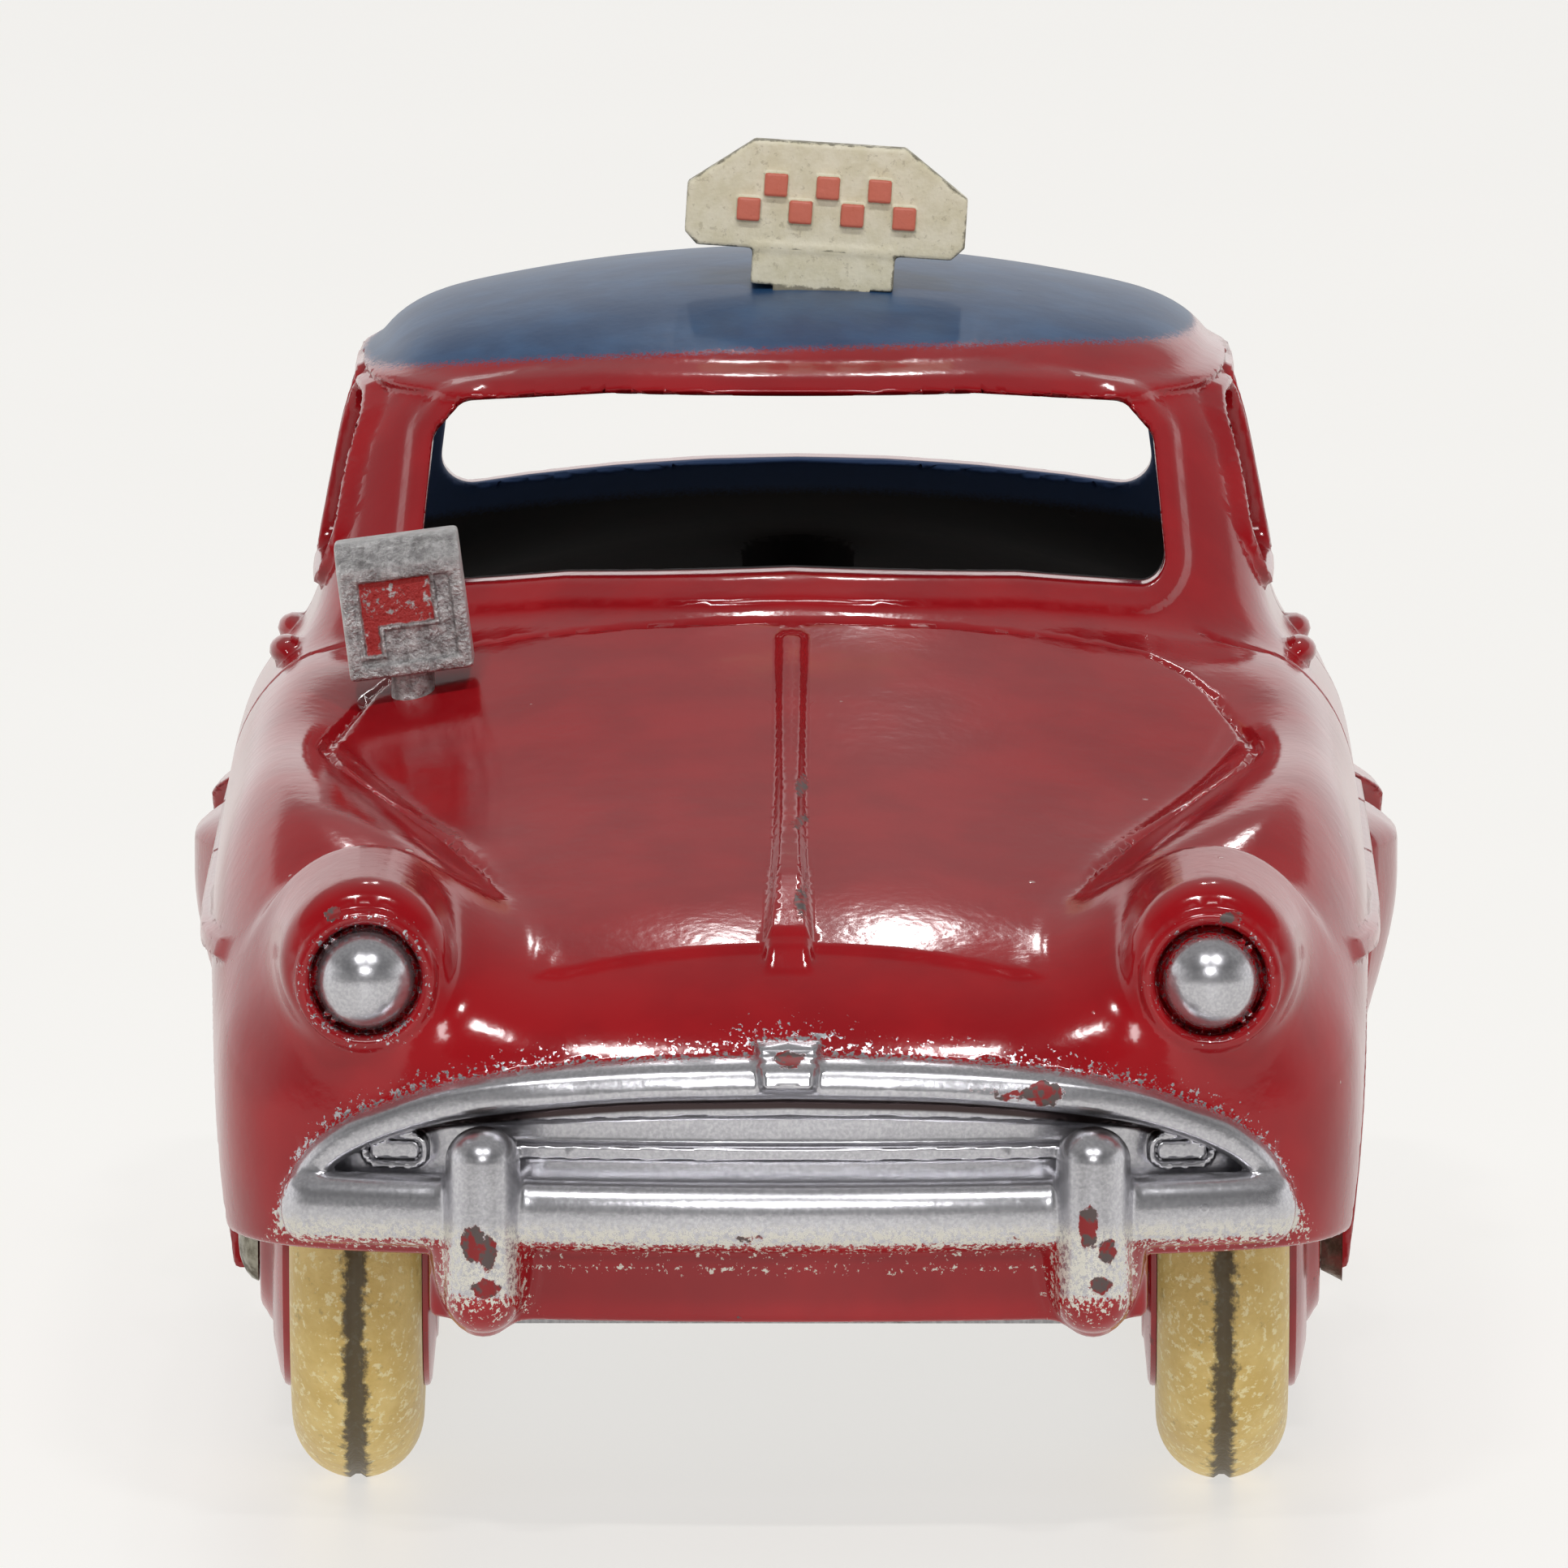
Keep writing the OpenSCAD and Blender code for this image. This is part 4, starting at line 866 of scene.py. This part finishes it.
h = m.plus(m.times(m.noise(2.4, 3), 0.5), m.times(m.noise(9, 2), 0.2))
SIGN = m.finish(col, m.range(worn, 0, 1, 0.42, 0.6), m.range(worn, 0, 1, 0.0, 0.5), m.bump(h, 0.5, 0.00012))
me.materials.append(SIGN)
o = link("sign_plate", me)
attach(o, "car")
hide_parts("roof_sign")

# Meter box with a flag on its face, rolled on an upright pin
MX, MY = -11.4, -18.6
MZ = float(top_z(np.array([-MX]), np.array([MY]))[0]) + 0.65
CR, SR = math.cos(math.radians(-7.5)), math.sin(math.radians(-7.5))


def rolled(x, z):
    return CR * x - SR * z, SR * x + CR * z


def flag_dist(u, w):
    return np.minimum(np.maximum(np.abs(u + 1.05) - 0.25, np.abs(w - 1.84) - 1.12),
                      np.maximum(np.abs(u + 0.2) - 1.1, np.abs(w - 2.26) - 0.7))


def meter_field(x, y, z):
    u, w = rolled(x, z)
    box = smax(smax(np.abs(u) - 1.875, np.abs(y) - 1.1, 0.25), np.abs(w - 2.075) - 2.075, 0.25)
    box = smax(box, 0.7071 * (w - y - 4.45), 0.2)
    pocket = smax(smax(np.abs(u) - 1.455, np.abs(w - 1.675) - 1.255, 0.3), np.abs(y + 1.6) - 0.66, 0.12)
    f = smax(box, -pocket, 0.2)
    f = smin(f, smax(np.abs(flag_dist(u, w) - 0.06) - 0.07, np.abs(y + 0.85) - 0.22, 0.1), 0.1)
    stem = np.maximum(np.sqrt(x * x + y * y) - 0.65, np.abs(z + 0.875) - 1.525)
    return smin(f, stem, 0.15)


v, q, n = field_piece(meter_field, (-2.5, -1.15, -2.45), (2.0, 1.15, 4.4), 0.075)
me = mesh_from("meter_box", (v + np.array([MX, MY, MZ])) * MM, q)
smooth(me, n)
u, w = rolled(v[:, 0], v[:, 2])
ink = np.where((v[:, 1] < -0.7) & (v[:, 1] > -1.04), -0.02 - flag_dist(u, w), -1)
rim = np.minimum(np.minimum(1.875 - np.abs(u), 4.15 - w), 1.0)
add_values(me, ink=ink, edge=rim)
m = Paint("meter_metal")
pit = m.noise(2.6, 5, 0.7)
col = m.mix(m.range(pit, 0.35, 0.65), srgb(150, 147, 147), srgb(205, 203, 203))
col = m.mix(m.times(m.range(m.noise(1.1, 4, 0.6), 0.5, 0.7), 0.6), col, srgb(96, 92, 92))
ink_m = m.range(m.ragged(m.attr("ink"), m.noise(4, 4, 0.7), 0.2), -0.02, 0.04)
flake = m.range(m.noise(3.2, 4, 0.65), 0.66, 0.56)
col = m.mix(m.times(ink_m, flake), col, srgb(172, 40, 38))
# box edges made lighter: painted highlight along the rim
painted_edge_highlight = m.range(m.attr("edge"), 0.2, 0.0)
col = m.mix(m.times(painted_edge_highlight, 0.5), col, srgb(225, 224, 224))
h = m.plus(m.times(pit, 0.7), m.times(m.noise(8, 3), 0.25))
METER = m.finish(col, m.range(ink_m, 0, 1, 0.42, 0.5), m.range(ink_m, 0, 1, 0.85, 0.0),
                 m.bump(h, 0.9, 0.0003))
me.materials.append(METER)
o = link("meter_box", me)
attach(o, "car")
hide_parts("taxi_meter")

# Stage
me = mesh_from("floor", [(-4, -4, 0), (4, -4, 0), (4, 4, 0), (-4, 4, 0)], [[0, 1, 2, 3]])
floor_o = link("floor", me)
m = Paint("floor")
col = m.mix(m.range(m.noise(0.02, 2), 0.3, 0.7), srgb(128, 127, 124), srgb(131, 130, 127))
me.materials.append(m.finish(col, 0.45, 0.0, Emission_Color=(1, 0.985, 0.955, 1), Emission_Strength=0.64))

world = bpy.data.worlds.new("studio")
bpy.context.scene.world = world
world.use_nodes = True
t = world.node_tree
t.nodes.clear()
out = node(t, "OutputWorld")
tc = node(t, "TexCoord")
sep = node(t, "SeparateXYZ", {0: tc.outputs["Generated"]})
# dim in front of the car and overhead, bright behind it
ahead = ramp(t, sep.outputs[1], -0.75, 0.35, 0.2, 1.0)
high = ramp(t, sep.outputs[2], 0.36, 0.46, 1.0, 0.34)
lev = node(t, "Math", {0: ahead, 1: high}, operation="MULTIPLY")
bg = node(t, "Background", {"Color": (1, 0.995, 0.985, 1), "Strength": lev.outputs[0]})
t.links.new(bg.outputs[0], out.inputs[0])


def soft_light(name, loc, aim, size, power):
    d = bpy.data.lights.new(name, "AREA")
    d.shape = "RECTANGLE"
    d.size, d.size_y = size
    d.energy = power
    o = bpy.data.objects.new(name, d)
    bpy.context.scene.collection.objects.link(o)
    o.location = loc
    o.rotation_mode = "QUATERNION"
    o.rotation_quaternion = (Vector(aim) - Vector(loc)).to_track_quat("-Z", "Y")


AIM = (0, -0.04, 0.017)
soft_light("key_left", (-0.024, 0.42, 0.5), AIM, (0.016, 0.045), 0.07)
soft_light("key_right", (0.033, 0.42, 0.46), AIM, (0.018, 0.05), 0.1)
soft_light("fill_left", (-0.12, -0.36, 0.52), AIM, (0.07, 0.05), 0.8)
soft_light("fill_right", (0.13, -0.36, 0.52), AIM, (0.07, 0.05), 0.8)
soft_light("front", (0, -0.75, 0.4), (0, -0.04, 0.012), (0.24, 0.12), 1.2)
bpy.context.scene.view_settings.view_transform = "Standard"
